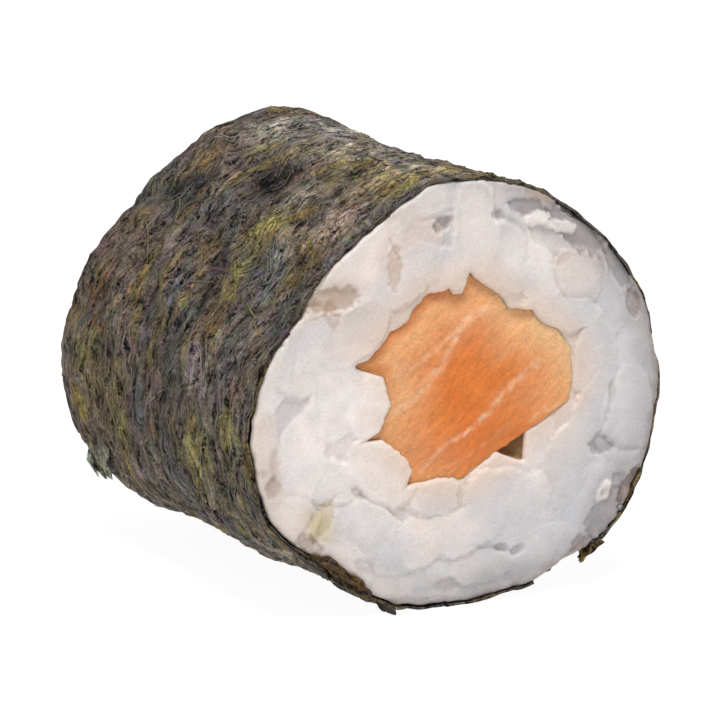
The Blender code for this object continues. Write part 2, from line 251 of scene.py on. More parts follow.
# Nori: one dried and roasted seaweed sheet, its free edge low at the left
nori = dict(
    thickness=0.14,
    layerStep=0.18,  # from the hidden layer to the one over it
    seamClock=214.0,  # about where the free edge lies
    overlap=56.0,  # degrees of the hidden first layer
    hiddenShare=0.07,  # and the share of the grid's columns that it gets
    tuck=34.0,  # degrees over which the sheet climbs off it
    smoothing=18.0,  # degrees from the free edge in which the lower layer follows the upper one's wrinkles
    edgeLift=-0.08,  # how far the free edge stands off its lower layer
    bay=(-10.9, -2.6, 0.42),  # where it stands off further, from and to along the roll, and how far
    around=306,
    along=150,
    freeEdge=[
        (-14.4, 9), (-12.6, 9), (-10.9, 9), (-9.8, -2), (-8.0, -6), (-5.5, -5), (-3.8, 0), (-2.6, 9),
        (0.0, 13), (4.0, 11), (8.0, 3), (11.0, -3), (14.4, -6),
    ],
    notch=(303.0, 9.0, 0.9),  # clock, half angle, depth
    paleRim=(234.0, 10.0),  # clock and reach of a stretch where the rim gets no darkening or painted shade
    # how far the front rim stands back from the cut, by clock angle
    rimBack=[
        (0, 0.24), (45, 0.24), (75, 0.15), (100, 0.05), (130, -0.02), (160, -0.12), (200, -0.2), (240, -0.2),
        (268, 0.0), (300, 0.15), (330, 0.24),
    ],
    # ridges and dents: clock and y of both ends, width, height
    folds=[
        (160, -0.3, 152, -0.8, 0.32, 0.2), (152, -0.8, 146, -0.9, 0.28, 0.24),
        (148.5, -2.0, 147.0, -1.4, 0.5, -1.0), (115, -7.4, 105, -6.4, 0.45, -0.22),
        (105, -6.4, 96, -5.8, 0.45, -0.25), (96, -5.8, 87, -6.3, 0.5, -0.2),
        (217, -4.2, 213.5, -9.2, 0.55, -0.9), (103, -9.6, 99, -9.0, 2.3, 0.30),
        (134, -2.6, 123, -7.5, 0.5, 0.14), (123, -7.5, 115, -8.3, 0.4, 0.12),
        (105, 2.9, 93, 3.2, 0.6, 0.18), (93, 3.2, 82, 6.2, 0.6, 0.16), (117, 1.6, 114, 0.2, 1.5, -0.30),
        (128, 9.9, 125, 8.2, 1.2, -0.28), (168, -4.6, 187, -8.0, 0.6, 0.16),
        (170, -2.5, 175, -2.9, 0.3, -0.25), (184, 7.6, 199, 5.4, 0.4, 0.14),
        (140, 11.1, 154, 5.9, 0.3, 0.10), (145, 5.5, 129, 9.7, 0.35, 0.12),
        (167, -7.9, 161, -7.9, 0.3, -0.2), (145, -4.3, 155, -6.3, 0.5, 0.12),
        (112, -2.1, 109, -1.9, 0.3, -0.22), (114, -6.4, 112, -7.2, 0.3, -0.25),
        (135, -9.4, 139, -9.6, 0.35, -0.2), (144, -11.1, 145, -12.8, 0.35, -0.2),
        (122, -11.9, 119, -12.3, 0.3, -0.2), (208, -1.2, 193, -5.9, 0.5, 0.12),
        (197, -5.6, 203, -6.2, 0.3, -0.2), (218, -1.5, 214, -2.8, 0.6, -0.25),
        (105, 13.6, 105, 8.9, 0.5, 0.14), (78, 6.8, 72, 9.0, 0.8, 0.25), (93, -7.5, 99, -14.3, 0.7, 0.14),
    ],
    # coloured patches: clock, y, reach round and along in mm, colour, strength. The pale greys round the top,
    # at clock 84 to 104, are painted sheen from the top light; the near-black strip under the free edge at
    # clock 211 and the dark band low at the front left, at clock 234, are painted shadow
    patches=[
        (118, 10.6, 2.2, 1.8, "#675838", 0.85), (126, 9.3, 1.3, 2.4, "#35343b", 0.9),
        (121, 5.3, 2.4, 1.4, "#675852", 0.6), (116, 1.2, 2.0, 2.5, "#302e35", 1.0),
        (105, 5.8, 1.4, 1.6, "#676340", 0.7), (95, 8.1, 3.0, 3.5, "#7a7873", 0.6),
        (78, 6.8, 1.4, 1.6, "#6f5a36", 0.9), (96, -1.0, 2.0, 1.3, "#7d7348", 0.7),
        (102, -9.7, 1.8, 2.4, "#6a5f3e", 0.8), (102, -12.6, 1.5, 1.1, "#676137", 0.6),
        (132, -3.3, 2.4, 2.4, "#747040", 0.8), (123, -7.2, 1.4, 1.3, "#5c4a22", 0.8),
        (131, 2.6, 2.4, 2.6, "#43444e", 0.7), (123, -10.8, 3.0, 2.0, "#7a6a62", 0.7),
        (141, -8.2, 2.8, 1.8, "#636467", 0.6), (149, -4.8, 3.0, 1.0, "#706b3e", 0.6),
        (154, -0.9, 1.3, 0.3, "#5f5538", 0.7), (147.5, -1.7, 0.7, 0.55, "#1a130b", 1.0),
        (144, 4.4, 2.6, 2.2, "#635a5b", 0.6), (158, 0.7, 1.8, 1.2, "#474e58", 0.8),
        (156, -2.6, 1.2, 1.2, "#3c3537", 0.9), (161, -0.9, 1.0, 0.4, "#85784e", 0.6),
        (166, 11.1, 2.4, 1.8, "#5f482e", 0.8), (176, 11.3, 1.6, 1.2, "#4c4d58", 0.8),
        (175, 8.1, 0.8, 1.4, "#5a4224", 0.8), (184, 10.0, 2.0, 2.6, "#6a6333", 0.7),
        (197, 12.2, 1.7, 1.2, "#84762f", 0.75), (190, 11.2, 0.9, 1.0, "#5e6268", 0.7),
        (187, 2.3, 1.9, 1.3, "#454c55", 0.8), (164, -5.7, 2.0, 2.2, "#5d4c2a", 0.8),
        (177, -7.4, 3.2, 0.8, "#736b6e", 0.6), (176, -5.1, 3.0, 0.9, "#56525a", 0.7),
        (174, -9.7, 3.0, 1.3, "#55515c", 0.7), (162, -10.9, 1.8, 1.1, "#686a6d", 0.5),
        (179, -11.4, 1.5, 0.8, "#5a4828", 0.8), (192, 5.4, 3.6, 1.6, "#625d38", 0.7),
        (188, -11.4, 1.7, 1.7, "#756c36", 0.75), (147, -8.9, 2.0, 1.6, "#66696f", 0.6),
        (204, 5.6, 1.8, 0.9, "#7a713c", 0.8), (195, 0.0, 1.0, 0.9, "#5c4833", 0.8),
        (199, -6.1, 2.8, 1.8, "#716b40", 0.7), (210, -1.8, 1.6, 1.9, "#4d535a", 0.8),
        (214, -2.8, 0.6, 1.0, "#2c3228", 0.8), (193, -14.0, 2.0, 0.5, "#5a4a24", 0.9),
        (202, -13.1, 2.0, 1.0, "#45434c", 0.8), (223, -9.9, 2.6, 3.0, "#696763", 0.5),
        (207, 2.1, 2.6, 2.0, "#6b6864", 0.5), (85, 5.4, 2.0, 2.5, "#7b7a78", 0.6),
        (97, -0.5, 2.6, 3.6, "#7f786c", 0.6), (104, -8.6, 3.2, 3.0, "#6c6659", 0.5),
        (88, -10.7, 2.2, 3.2, "#7f7868", 0.6), (119, -4.8, 2.4, 2.6, "#716a60", 0.5),
        (90, -5.0, 1.4, 2.4, "#6f6660", 0.5), (217, -7.4, 1.1, 2.4, "#66632f", 0.9),
        (211, -7.2, 0.6, 2.4, "#1c1d16", 1.0), (234, -13.0, 4.4, 1.6, "#2a291c", 1.0),
        (231, -14.4, 3.6, 0.4, "#54401f", 1.0), (216, 5.0, 1.4, 2.6, "#504a34", 0.6),
        (200, -9.0, 4.0, 5.0, "#6f6f58", 0.35), (135, -1.0, 4.0, 3.0, "#47444c", 0.3),
        (190, 9.0, 5.0, 4.5, "#5f5128", 0.4), (84, 1.0, 4.0, 11.0, "#7f7d80", 0.3),
    ],
    mauve="#594e4a",
    slate="#4d4c4c",
    oliveBrown="#5f5336",
    # dark of the cut rim: partly the sheet's darker cut edge, partly painted shade
    rimDarkAndShade="#2a241c",
    between="#403b38",
    # fibre patterns: turn, stretch along, count per mm across, thinness, weight
    strandLayers=[
        (0.36, 0.21, 1.0, 13.0, 0.75), (-0.36, 0.23, 1.05, 13.0, 0.7), (0.04, 0.19, 1.25, 11.0, 0.9),
        (1.00, 0.30, 0.9, 15.0, 0.5),
    ],
    # from a swatch to damp nori: its level, the grey that stays, contrast, and strength of hue
    darkness=0.88,
    middle=0.1,
    contrast=0.6,
    vividness=1.05,
    # how much painted light the crests get, and painted shade the dents, for each mm of height
    paintedReliefShade=1.8,
)
degreeLength = 0.2443  # mm round the sheet for one degree
turnLength = 360.0 * degreeLength


def freeEdgeShift(y):
    # Where along the turn the sheet's free edge lies, in degrees from the seam
    pairs = nori["freeEdge"]
    for (y0, a0), (y1, a1) in zip(pairs, pairs[1:]):
        if y <= y1:
            return blend(a0, a1, ease((y - y0) / (y1 - y0))) + 1.6 * ripple(y * 1.7, 0.0, 4.4)
    return pairs[-1][1]


def capsule(u, y, fold):
    # How near a point of the sheet is to a fold's line, 1 on it and 0 past its width
    u0, y0, u1, y1, width = fold
    du, dy = u1 - u0, y1 - y0
    t = min(max(((u - u0) * du + (y - y0) * dy) / (du * du + dy * dy + 1e-6), 0.0), 1.0)
    away = math.hypot(u - u0 - t * du, y - y0 - t * dy) / width
    return math.exp(-away * away) if away < 2.6 else 0.0  # next to nothing past that


def alongSheet(clock, y):
    # Flat place round the sheet of a clock angle, on the layer that is seen there
    lead = freeEdgeShift(y)
    return ((clock - nori["seamClock"] - lead) % 360.0 + lead) * degreeLength


foldLines = [
    ((alongSheet(c0, y0), y0, alongSheet(c1, y1), y1, width), height)
    for c0, y0, c1, y1, width, height in nori["folds"]
]


def fibreFlow(u, y):
    # Sheet coordinates bent so that strands wander, crossing one way here and the other way there
    drift = 2.6 * ripple(u / 12.0, y / 8.0, 5.1) + 1.0 * ripple(u / 4.0, y / 4.0, 8.3)
    lean = 0.45 * ripple(u / 16.0, y / 10.0, 2.2)
    return u, y + drift + lean * u * 0.3


def sheetRelief(u, y):
    # Height of the sheet's wrinkles in mm at u round it and y along the roll
    fu, fy = fibreFlow(u, y)
    # soft dents, then dark creases two ways, raised ridges and three sizes of fine wrinkle
    height = 0.24 * ripple(u / 4.4, y / 3.6, 1.7)
    height += 0.14 * ripple(fu / 5.5, fy / 1.5, 3.3)
    crease = abs(ripple(fu / 6.0, fy / 1.7, 9.4))
    height -= 0.17 * max(0.0, 1.0 - 7.0 * crease)
    cross = abs(ripple((u + 0.5 * y) / 5.0, (y - 0.35 * u) / 2.4, 13.8))
    height -= 0.12 * max(0.0, 1.0 - 8.0 * cross)
    ridge = abs(ripple(fu / 3.4, fy / 1.1, 23.0))
    height += 0.11 * max(0.0, 1.0 - 5.0 * ridge)
    height += 0.16 * ripple(fu / 2.4, fy / 0.66, 7.7)
    height += 0.10 * ripple((u - 0.4 * y) / 1.6, (y + 0.4 * u) / 0.55, 21.7)
    height += 0.10 * ripple(u / 0.9, y / 0.46, 17.1)
    for line, rise in foldLines:
        if abs(u - line[0]) < 9.0:
            height += rise * capsule(u, y, line)
    edge = ease((halfLength - abs(y)) / 0.9)
    return height * (0.6 + 0.4 * edge) - 0.05 * (1.0 - ease((halfLength - abs(y)) / 0.3))


def sheetRadius(travel, y):
    # Outer radius after this much turn from the seam. The sheet starts under its own free edge
    start = travel - freeEdgeShift(y)
    under = ease(1.0 - start / nori["smoothing"])
    relief = sheetRelief(travel * degreeLength, y)
    if under > 0.0:
        relief = blend(relief, sheetRelief(travel * degreeLength + turnLength, y), under)
    inset = nori["layerStep"] * ease(1.0 - start / nori["tuck"])
    lift = nori["edgeLift"]
    bayStart, bayEnd, bayLift = nori["bay"]
    if bayStart < y < bayEnd:
        lift += bayLift * math.sin(math.pi * (y - bayStart) / (bayEnd - bayStart))
    clock = nori["seamClock"] + travel
    return rollRadius(clock, y) + relief - inset + lift * ease(1.0 - (360.0 - start) / 6.0)


def flatUnder(point, inset):
    # The underside is pressed flat where the roll rests
    point.z = max(point.z, inset - roll["axisHeight"])
    return point


def rimShift(clock, y):
    # Ragged cut at both ends, and the torn notch at the lower right of the front rim
    turn = math.radians(clock)
    wave = 0.10 * math.sin(7 * turn + 0.6) + 0.06 * math.sin(15 * turn)
    rag = 0.10 * ripple(clock * 0.35, y, 6.1) + 0.05 * ripple(clock * 1.1, y, 2.9)
    centre, half, depth = nori["notch"]
    torn = depth * ease((half - abs(clockGap(clock, centre))) / 1.2 + 0.5)
    torn *= 0.85 + 0.3 * ripple(clock * 0.6, 3.0, 1.1)
    back = torn + curveByClock(nori["rimBack"], clock) if y < 0 else 0.08
    return wave + rag + back


def sheetPlace(u, v):
    # The grid starts hidden under its own end. Gives the turn from the seam, the clock and the place along
    y = blend(-halfLength, halfLength, v)
    hidden = nori["hiddenShare"]
    turned = nori["overlap"] * (u / hidden - 1.0) if u < hidden else 360.0 * (u - hidden) / (1.0 - hidden)
    travel = freeEdgeShift(y) * u + turned
    clock = nori["seamClock"] + travel
    rim = rimShift(clock, y)
    near = ease(1.0 - (halfLength - abs(y)) / 1.6)
    y -= math.copysign(rim * near, y)
    return travel, clock, y


patchList = [
    (alongSheet(clock, y), y, reachAround, reachAlong, linear(code), strength)
    for clock, y, reachAround, reachAlong, code, strength in nori["patches"]
]
mauve, slate, oliveBrown, rimDarkAndShade = (linear(nori[k]) for k in ("mauve", "slate", "oliveBrown", "rimDarkAndShade"))


def sheetColour(u, y):
    # Roasted nori varies from slate and mauve to olive and brown, with named patches on top
    fu, fy = fibreFlow(u, y)
    colour = blendColour(mauve, slate, ease(0.5 + 1.6 * ripple(fu / 5.0, fy / 3.0, 31.0)))
    colour = blendColour(colour, oliveBrown, ease(0.14 + 1.5 * ripple(fu / 4.5, fy / 2.4, 37.0)))
    wobble = 0.45 * ripple(fu / 1.6, fy / 0.9, 41.0) + 0.25 * ripple(u / 0.7, y / 0.5, 43.0)
    for pu, py, reachAround, reachAlong, shade, strength in patchList:
        du = (u - pu) / reachAround
        dy = (y - py) / reachAlong
        if abs(du) < 1.6 and abs(dy) < 1.6:
            colour = blendColour(colour, shade, strength * ease(1.25 - math.hypot(du, dy) + wobble))
    # damp nori is darker than its flat swatch, its dark places most of all
    grey = sum(colour) / 3.0
    level = nori["darkness"] * (grey / nori["middle"]) ** nori["contrast"]
    vivid = nori["vividness"] * (1.0 if colour[0] > colour[2] else 0.5)
    return [max(level * blend(grey, c, vivid), 0.002) for c in colour]


def sheetSample(u, v):
    travel, clock, y = sheetPlace(u, v)
    place = flatUnder(onClock(sheetRadius(travel, y), clock, y), 0.0)
    flatU = travel * degreeLength
    # the cut rim is darkened, partly by painted shade, but for its pale stretch; crests get painted light and
    # dents painted shade
    dark = 1.0 - ease((y + halfLength + 0.04 - 0.2 * ripple(clock / 2.4, y, 12.0)) / 0.35)
    paleClock, paleReach = nori["paleRim"]
    dark *= 1.0 - 0.8 * ease(1.5 - abs(clockGap(clock, paleClock)) / paleReach)
    crest = min(max(1.0 + nori["paintedReliefShade"] * sheetRelief(flatU, y), 0.35), 1.9)
    tint = [c * crest for c in blendColour(sheetColour(flatU, y), rimDarkAndShade, 0.75 * dark)]
    return place, tint, (flatU, y)


def noriMaterial():
    # Roasted laver sheet: matt felt of flattened fibres, with paler raised strands, partly their own colour
    # and partly a painted grey sheen
    surface, tree = newMaterial("roasted nori sheet")
    tint = addNode(tree, "Attribute", {"attribute_name": "tint"})
    place = addNode(tree, "UVMap", {"uv_map": "flat"})  # 1 unit is 1 mm
    wander = addNode(tree, "TexNoise", {"Scale": 0.35, "Detail": 1.0}, {"Vector": place})
    centred = addNode(
        tree, "VectorMath", {"operation": "SUBTRACT", 1: (0.5, 0.5, 0.5)},
        {0: wander.outputs["Color"]},
    )
    swing = addNode(tree, "VectorMath", {"operation": "MULTIPLY", 1: (0.8, 1.3, 0.0)}, {0: centred})
    bent = addNode(tree, "VectorMath", {"operation": "ADD"}, {0: place, 1: swing})
    # strands about 0.1 mm wide: where stretched noise crosses its middle, lying one way and the other
    total = None
    for turn, stretch, spacing, thin, weight in nori["strandLayers"]:
        lay = addNode(
            tree, "Mapping",
            {
                "vector_type": "TEXTURE", "Rotation": (0.0, 0.0, turn),
                "Scale": (1.0 / stretch, 1.0 / spacing, 1.0),
            },
            {"Vector": bent},
        )
        wool = addNode(tree, "TexNoise", {"Scale": 1.0, "Detail": 1.5, "Roughness": 0.5}, {"Vector": lay})
        level = addNode(tree, "Math", {"operation": "SUBTRACT", 1: 0.5}, {0: wool})
        fold = addNode(tree, "Math", {"operation": "ABSOLUTE"}, {0: level})
        line = addNode(
            tree, "Math", {"operation": "MULTIPLY_ADD", 1: -thin, 2: 1.0, "use_clamp": True},
            {0: fold},
        )
        part = addNode(tree, "Math", {"operation": "MULTIPLY", 1: weight}, {0: line})
        if total is not None:
            part = addNode(tree, "Math", {"operation": "MAXIMUM"}, {0: part, 1: total})
        total = part
    # fine wrinkles about 0.5 mm apart, lying round the roll
    combed = addNode(tree, "Mapping", {"Scale": (0.48, 1.35, 1.0)}, {"Vector": bent})
    wrinkle = addNode(
        tree, "TexNoise", {"Scale": 1.55, "Detail": 3.0, "Roughness": 0.6, "Distortion": 0.2},
        {"Vector": combed},
    )
    grain = addNode(tree, "TexNoise", {"Scale": 4.2, "Detail": 2.0, "Roughness": 0.65}, {"Vector": bent})
    crumple = addNode(tree, "Math", {"operation": "MULTIPLY_ADD", 1: 0.6}, {0: grain, 2: wrinkle})
    # the wrinkles also scale the colour: painted shade in their dents and painted light on their crests
    shade = addNode(
        tree, "MapRange", {"From Min": 0.67, "From Max": 0.94, "To Min": 0.0, "To Max": 3.0},
        {"Value": crumple},
    )
    # plain seaweed shows between the strands of each coloured patch
    between = addNode(tree, "TexNoise", {"Scale": 1.5, "Detail": 3.0, "Roughness": 0.65}, {"Vector": combed})
    plain = addNode(
        tree, "MapRange", {"From Min": 0.46, "From Max": 0.60, "To Min": 0.0, "To Max": 0.75},
        {"Value": between},
    )
    mixed = addNode(
        tree, "Mix", {"data_type": "RGBA", 7: (*linear(nori["between"]), 1.0)},
        {0: plain, 6: tint.outputs["Color"]},
    )
    based = addNode(tree, "VectorMath", {"operation": "SCALE"}, {0: mixed.outputs[2], "Scale": shade})
    # every half millimetre or so leans to mauve, olive or grey
    hue = addNode(tree, "TexNoise", {"Scale": 1.9, "Detail": 3.0, "Roughness": 0.6}, {"Vector": combed})
    tinge = addNode(
        tree, "VectorMath", {"operation": "MULTIPLY_ADD", 1: (1.4, 1.1, 1.9), 2: (0.36, 0.46, 0.0)},
        {0: hue.outputs["Color"]},
    )
    mottled = addNode(tree, "VectorMath", {"operation": "MULTIPLY"}, {0: based, 1: tinge})
    # paler strands: partly their own colour, partly a painted grey sheen
    strandTintAndSheen = addNode(
        tree, "VectorMath", {"operation": "MULTIPLY_ADD", 1: (2.7, 2.6, 2.2), 2: (0.024, 0.021, 0.014)},
        {0: tint.outputs["Color"]},
    )
    patchy = addNode(tree, "TexNoise", {"Scale": 0.8, "Detail": 3.0}, {"Vector": bent})
    amount = addNode(
        tree, "MapRange", {"From Min": 0.45, "From Max": 0.60, "To Min": 0.02, "To Max": 0.8},
        {"Value": patchy},
    )
    cover = addNode(tree, "Math", {"operation": "MULTIPLY"}, {0: total, 1: amount})
    colour = addNode(tree, "Mix", {"data_type": "RGBA"}, {0: cover, 6: mottled, 7: strandTintAndSheen})
    rough = addNode(
        tree, "MapRange", {"From Min": 0.2, "From Max": 0.8, "To Min": 0.66, "To Max": 0.46},
        {"Value": grain},
    )
    height = addNode(tree, "Math", {"operation": "MULTIPLY_ADD", 1: 1.3}, {0: crumple, 2: cover})
    bump = addNode(tree, "Bump", {"Strength": 1.0, "Distance": 0.3 * mm}, {"Height": height})
    shader = addNode(
        tree, "BsdfPrincipled", {"IOR": 1.45, "Specular IOR Level": 0.13},
        {"Base Color": colour.outputs[2], "Roughness": rough, "Normal": bump},
    )
    addNode(tree, "OutputMaterial", {}, {"Surface": shader})
    return surface


def buildNori():
    mesh = bmesh.new()
    wrapGrid(mesh, nori["around"], nori["along"], sheetSample)
    bmesh.ops.recalc_face_normals(mesh, faces=mesh.faces)
    top = max(mesh.faces, key=lambda face: face.calc_center_median().z)
    if top.normal.z < 0.0:
        bmesh.ops.reverse_faces(mesh, faces=mesh.faces)
    piece = finishPiece(mesh, "nori-sheet", "nori", noriMaterial())
    giveWall(piece, nori["thickness"], -1.0)  # inwards


buildNori()
print("nori sheet made")


# Strands of seaweed that stand out of the sheet
fibres = dict(
    seed=23,
    count=2400,
    tries=3,  # places tried for each strand, so that they lie closer here and there
    reach=14.3,  # how far along the roll they lie
    ends=(0.12, 14.1),  # kept this far behind the front rim, and short of this at the back
    joints=6,
    lengths=(0.7, 3.8),
    widths=(0.08, 0.18),
    pale="#a19a90",
    olive="#958d5c",
    tan="#9c8560",
    dark="#1f1a16",
    shares=(0.42, 0.29, 0.17, 0.12),  # of those four colours
    strength=(0.1, 0.5),  # how far a strand takes its own colour instead of the sheet's
    glow=(0.74, 1.24),  # least and greatest brightness
    darkness=0.8,
    headingSpread=0.55,  # radians
    bend=0.14,  # radians from joint to joint, at most
    lift=0.12,  # height of the strand's middle over the sheet, for each mm of width
    floorGap=0.06,
    # long strands seen one by one: width, colour, then clock and y of their points
    single=[
        (0.16, "#a3a09c", [(105, 13.6), (106.5, 11.8), (105, 9.9), (104, 8.4)]),
        (0.14, "#a3a09c", [(106.5, 11.8), (101, 10.9), (98, 9.4)]),
        (0.14, "#9a9690", [(111, 13.0), (106.5, 11.6), (107, 10.2)]),
        (0.15, "#857c50", [(140, 11.1), (147, 8.5), (154, 5.9)]),
        (0.16, "#8c8450", [(129, 9.7), (137, 7.4), (145, 5.5)]),
        (0.26, "#8a8440", [(144, -4.0), (150, -4.9), (156, -6.5)]),
        (0.18, "#8a8440", [(146, -5.0), (152, -5.0), (158, -5.4)]),
        (0.16, "#8f8552", [(153, -6.6), (157, -9.4), (162, -13.0)]),
        (0.18, "#7f784a", [(184, 7.8), (191, 6.6), (200, 5.2)]),
        (0.16, "#7f784a", [(188, 6.6), (196, 5.2), (205, 4.3)]),
        (0.20, "#877f45", [(134, -2.6), (128, -5.7), (123, -7.5), (117, -8.1)]),
        (0.18, "#8f8756", [(105, 2.9), (97, 3.1), (90, 4.1)]),
        (0.20, "#827a7c", [(166, -4.4), (174, -6.4), (186, -7.8)]),
        (0.16, "#7c7577", [(163, -3.2), (170, -4.6), (178, -5.4)]),
        (0.16, "#7a6d45", [(163, -0.3), (156, -1.0), (149, -0.7)]),
    ],
)


def onSheet(u, y, lift):
    travel = u / degreeLength
    clock = nori["seamClock"] + travel
    return flatUnder(onClock(sheetRadius(travel, y) + lift, clock, y), fibres["floorGap"])


def strandPath(u, y, heading, length, bend, joints):
    # Places along a strand that curves over the sheet
    path = []
    behind, back = fibres["ends"]
    u -= 0.5 * length * math.cos(heading)
    y -= 0.5 * length * math.sin(heading)
    for k in range(joints + 1):
        front = -halfLength + behind + rimShift(nori["seamClock"] + u / degreeLength, -halfLength)
        path.append((u, min(max(y, front), back)))
        turn = heading + bend * (k - 0.5 * joints) + 0.5 * ripple(u / 1.3, y / 1.3, 47.0)
        u += length / joints * math.cos(turn)
        y += length / joints * math.sin(turn)
    return path


def singlePath(points, joints):
    # Even steps along a strand given by its clock and y points
    marks = [(alongSheet(clock, y), y) for clock, y in points]
    steps = [math.dist(a, b) for a, b in zip(marks, marks[1:])]
    path = []
    for k in range(joints + 1):
        left = sum(steps) * k / joints
        for (a, b), step in zip(zip(marks, marks[1:]), steps):
            if left <= step + 1e-9:
                break
            left -= step
        share = left / step
        sway = 0.12 * ripple(left * 1.3, k * 0.7, 3.3)
        path.append((blend(a[0], b[0], share), blend(a[1], b[1], share) + sway))
    return path


def layStrand(verts, path, width, colour, tintLayer):
    # The copied rod's points follow the path, thin at both ends and half sunk in the sheet
    joints = len(path) - 1
    centres = [onSheet(u, y, fibres["lift"] * width) for u, y in path]
    for vert in verts:
        k = round((vert.co.z + 0.5) * joints)
        here = centres[k]
        ahead = (centres[min(k + 1, joints)] - centres[max(k - 1, 0)]).normalized()
        outward = Vector((here.x, 0.0, here.z)).normalized()
        across = outward.cross(ahead).normalized()
        taper = 0.25 + 0.75 * math.sin(math.pi * k / joints) ** 0.7
        shift = across * (vert.co.x * width * taper) + outward * (vert.co.y * width * 0.5 * taper)
        vert.co = here + shift
        vert[tintLayer] = (*(c * fibres["darkness"] for c in colour), 1.0)


def fibreMaterial():
    # Dried seaweed strand: thin, leathery and a little glossy where it stands proud
    surface, tree = newMaterial("dried seaweed strand")
    tint = addNode(tree, "Attribute", {"attribute_name": "tint"})
    place = addNode(tree, "TexCoord")
    # grain of a quarter millimetre, coarser than the real one so that it shows
    grain = addNode(tree, "TexNoise", {"Scale": 4000.0, "Detail": 2.0}, {"Vector": place.outputs["Object"]})
    shade = addNode(
        tree, "MapRange", {"From Min": 0.3, "From Max": 0.7, "To Min": 0.7, "To Max": 1.25},
        {"Value": grain},
    )
    colour = addNode(tree, "VectorMath", {"operation": "SCALE"}, {0: tint.outputs["Color"], "Scale": shade})
    bump = addNode(tree, "Bump", {"Strength": 0.4, "Distance": 0.03 * mm}, {"Height": grain})
    shader = addNode(
        tree, "BsdfPrincipled", {"Roughness": 0.5, "IOR": 1.45, "Specular IOR Level": 0.4},
        {"Base Color": colour, "Normal": bump},
    )
    addNode(tree, "OutputMaterial", {}, {"Surface": shader})
    return surface


def buildFibres():
    draw = random.Random(fibres["seed"])
    joints = fibres["joints"]
    rod = bmesh.new()
    bmesh.ops.create_cone(rod, cap_ends=True, segments=3, radius1=0.5, radius2=0.5, depth=1.0)
    upright = [edge for edge in rod.edges if abs(edge.verts[0].co.z - edge.verts[1].co.z) > 0.5]
    bmesh.ops.subdivide_edges(rod, edges=upright, cuts=joints - 1)
    rodData = bpy.data.meshes.new("strand rod")
    rod.to_mesh(rodData)
    rod.free()
    mesh = bmesh.new()
    tintLayer = mesh.verts.layers.float_color.new("tint")
    total = fibres["count"] + len(fibres["single"])
    for _ in range(total):
        mesh.from_mesh(rodData)
    mesh.verts.ensure_lookup_table()
    each = len(rodData.vertices)
    bpy.data.meshes.remove(rodData)
    kinds = [linear(fibres[k]) for k in ("pale", "olive", "tan", "dark")]
    for i in range(total):
        verts = mesh.verts[i * each : (i + 1) * each]
        if i < len(fibres["single"]):
            width, code, points = fibres["single"][i]
            layStrand(verts, singlePath(points, joints), width, linear(code), tintLayer)
            continue
        for _ in range(fibres["tries"]):
            y = draw.uniform(-fibres["reach"], fibres["reach"])
            u = freeEdgeShift(y) * degreeLength + draw.uniform(0.4, turnLength - 0.6)
            if ripple(u / 3.5, y / 2.2, 61.0) > -0.02:
                break
        heading = 0.5 * ripple(u / 9.0, y / 6.0, 2.2) + draw.gauss(0.0, fibres["headingSpread"])
        length = blend(*fibres["lengths"], draw.random() ** 2.2)  # most are short and thin
        width = blend(*fibres["widths"], draw.random() ** 1.6)
        path = strandPath(u, y, heading, length, draw.uniform(-fibres["bend"], fibres["bend"]), joints)
        kind = draw.choices(kinds, fibres["shares"])[0]
        colour = blendColour([1.6 * c for c in sheetColour(u, y)], kind, draw.uniform(*fibres["strength"]))
        glow = draw.uniform(*fibres["glow"])
        layStrand(verts, path, width, [c * glow for c in colour], tintLayer)
    finishPiece(mesh, "nori-fibres", "nori", fibreMaterial())


buildFibres()
print("nori fibres made")


# Scraps that stand out of the sheet: torn corners at the front rim, and a thin loose flap low at the back
scraps = dict(
    steps=(22, 16),
    thickness=0.08,
    rootDepth=0.06,
    floorGap=0.05,
    # clock and y of the root, heading from the turn towards +y, length, width, rise, raggedness, colour
    pieces=[
        (314.5, -13.9, 176, 1.7, 1.6, 0.6, 0.15, "#463820"),
        (233.0, -14.4, -90, 0.14, 6.2, -0.80, 0.2, "#3a2c1a"),
        (249.0, -14.15, 15, 1.1, 1.9, 1.0, 0.25, "#2b2823"),
        (208.0, 11.3, -6, 1.9, 4.6, 0.75, 0.5, "#74746a"),
        (212.5, 8.2, 12, 1.4, 2.0, 0.5, 0.5, "#66645a"),
        (88.0, 12.2, 100, 1.2, 1.0, 0.16, 0.4, "#57503c"),
    ],
)


def scrapSample(scrap, u, v):
    # A torn patch rooted in the sheet at u = 0, which rises from it towards its ragged tip
    clock, y, heading, length, width, rise, ragged, code = scrap
    across = (v - 0.5) * width * (1.0 - 0.45 * u + 0.5 * ragged * ripple(3.0 * u, 2.0 * clock, y))
    tip = 1.3 * ripple(4.0 * v * width, clock, y) - 2.4 * (v - 0.5) ** 2
    along = u * length * (1.0 + ragged * tip)
    du, dy = inTurnedAxes(along, across, *cosSin(-heading))
    flatU, flatY = alongSheet(clock, y) + du, y + dy
    lift = -scraps["rootDepth"] + rise * u ** 1.3 + 0.12 * u * ripple(flatU / 0.7, flatY / 0.7, 55.0)
    travel = flatU / degreeLength
    point = onClock(sheetRadius(travel, flatY) + lift, nori["seamClock"] + travel, flatY)
    shade = (0.8 + 0.6 * u) * (1.0 + 0.35 * ripple(flatU / 0.7, flatY / 0.4 + 3.5 * u, 58.0))
    tint = [shade * c for c in linear(code)]
    return flatUnder(point, scraps["floorGap"]), tint, (flatU, flatY + lift)


def buildScraps(finish):
    mesh = bmesh.new()
    for scrap in scraps["pieces"]:
        wrapGrid(mesh, *scraps["steps"], lambda u, v, scrap=scrap: scrapSample(scrap, u, v))
    piece = finishPiece(mesh, "nori-scraps", "nori", finish)
    giveWall(piece, scraps["thickness"], 0.0)  # both ways


buildScraps(bpy.data.materials["roasted nori sheet"])
print("nori scraps made")


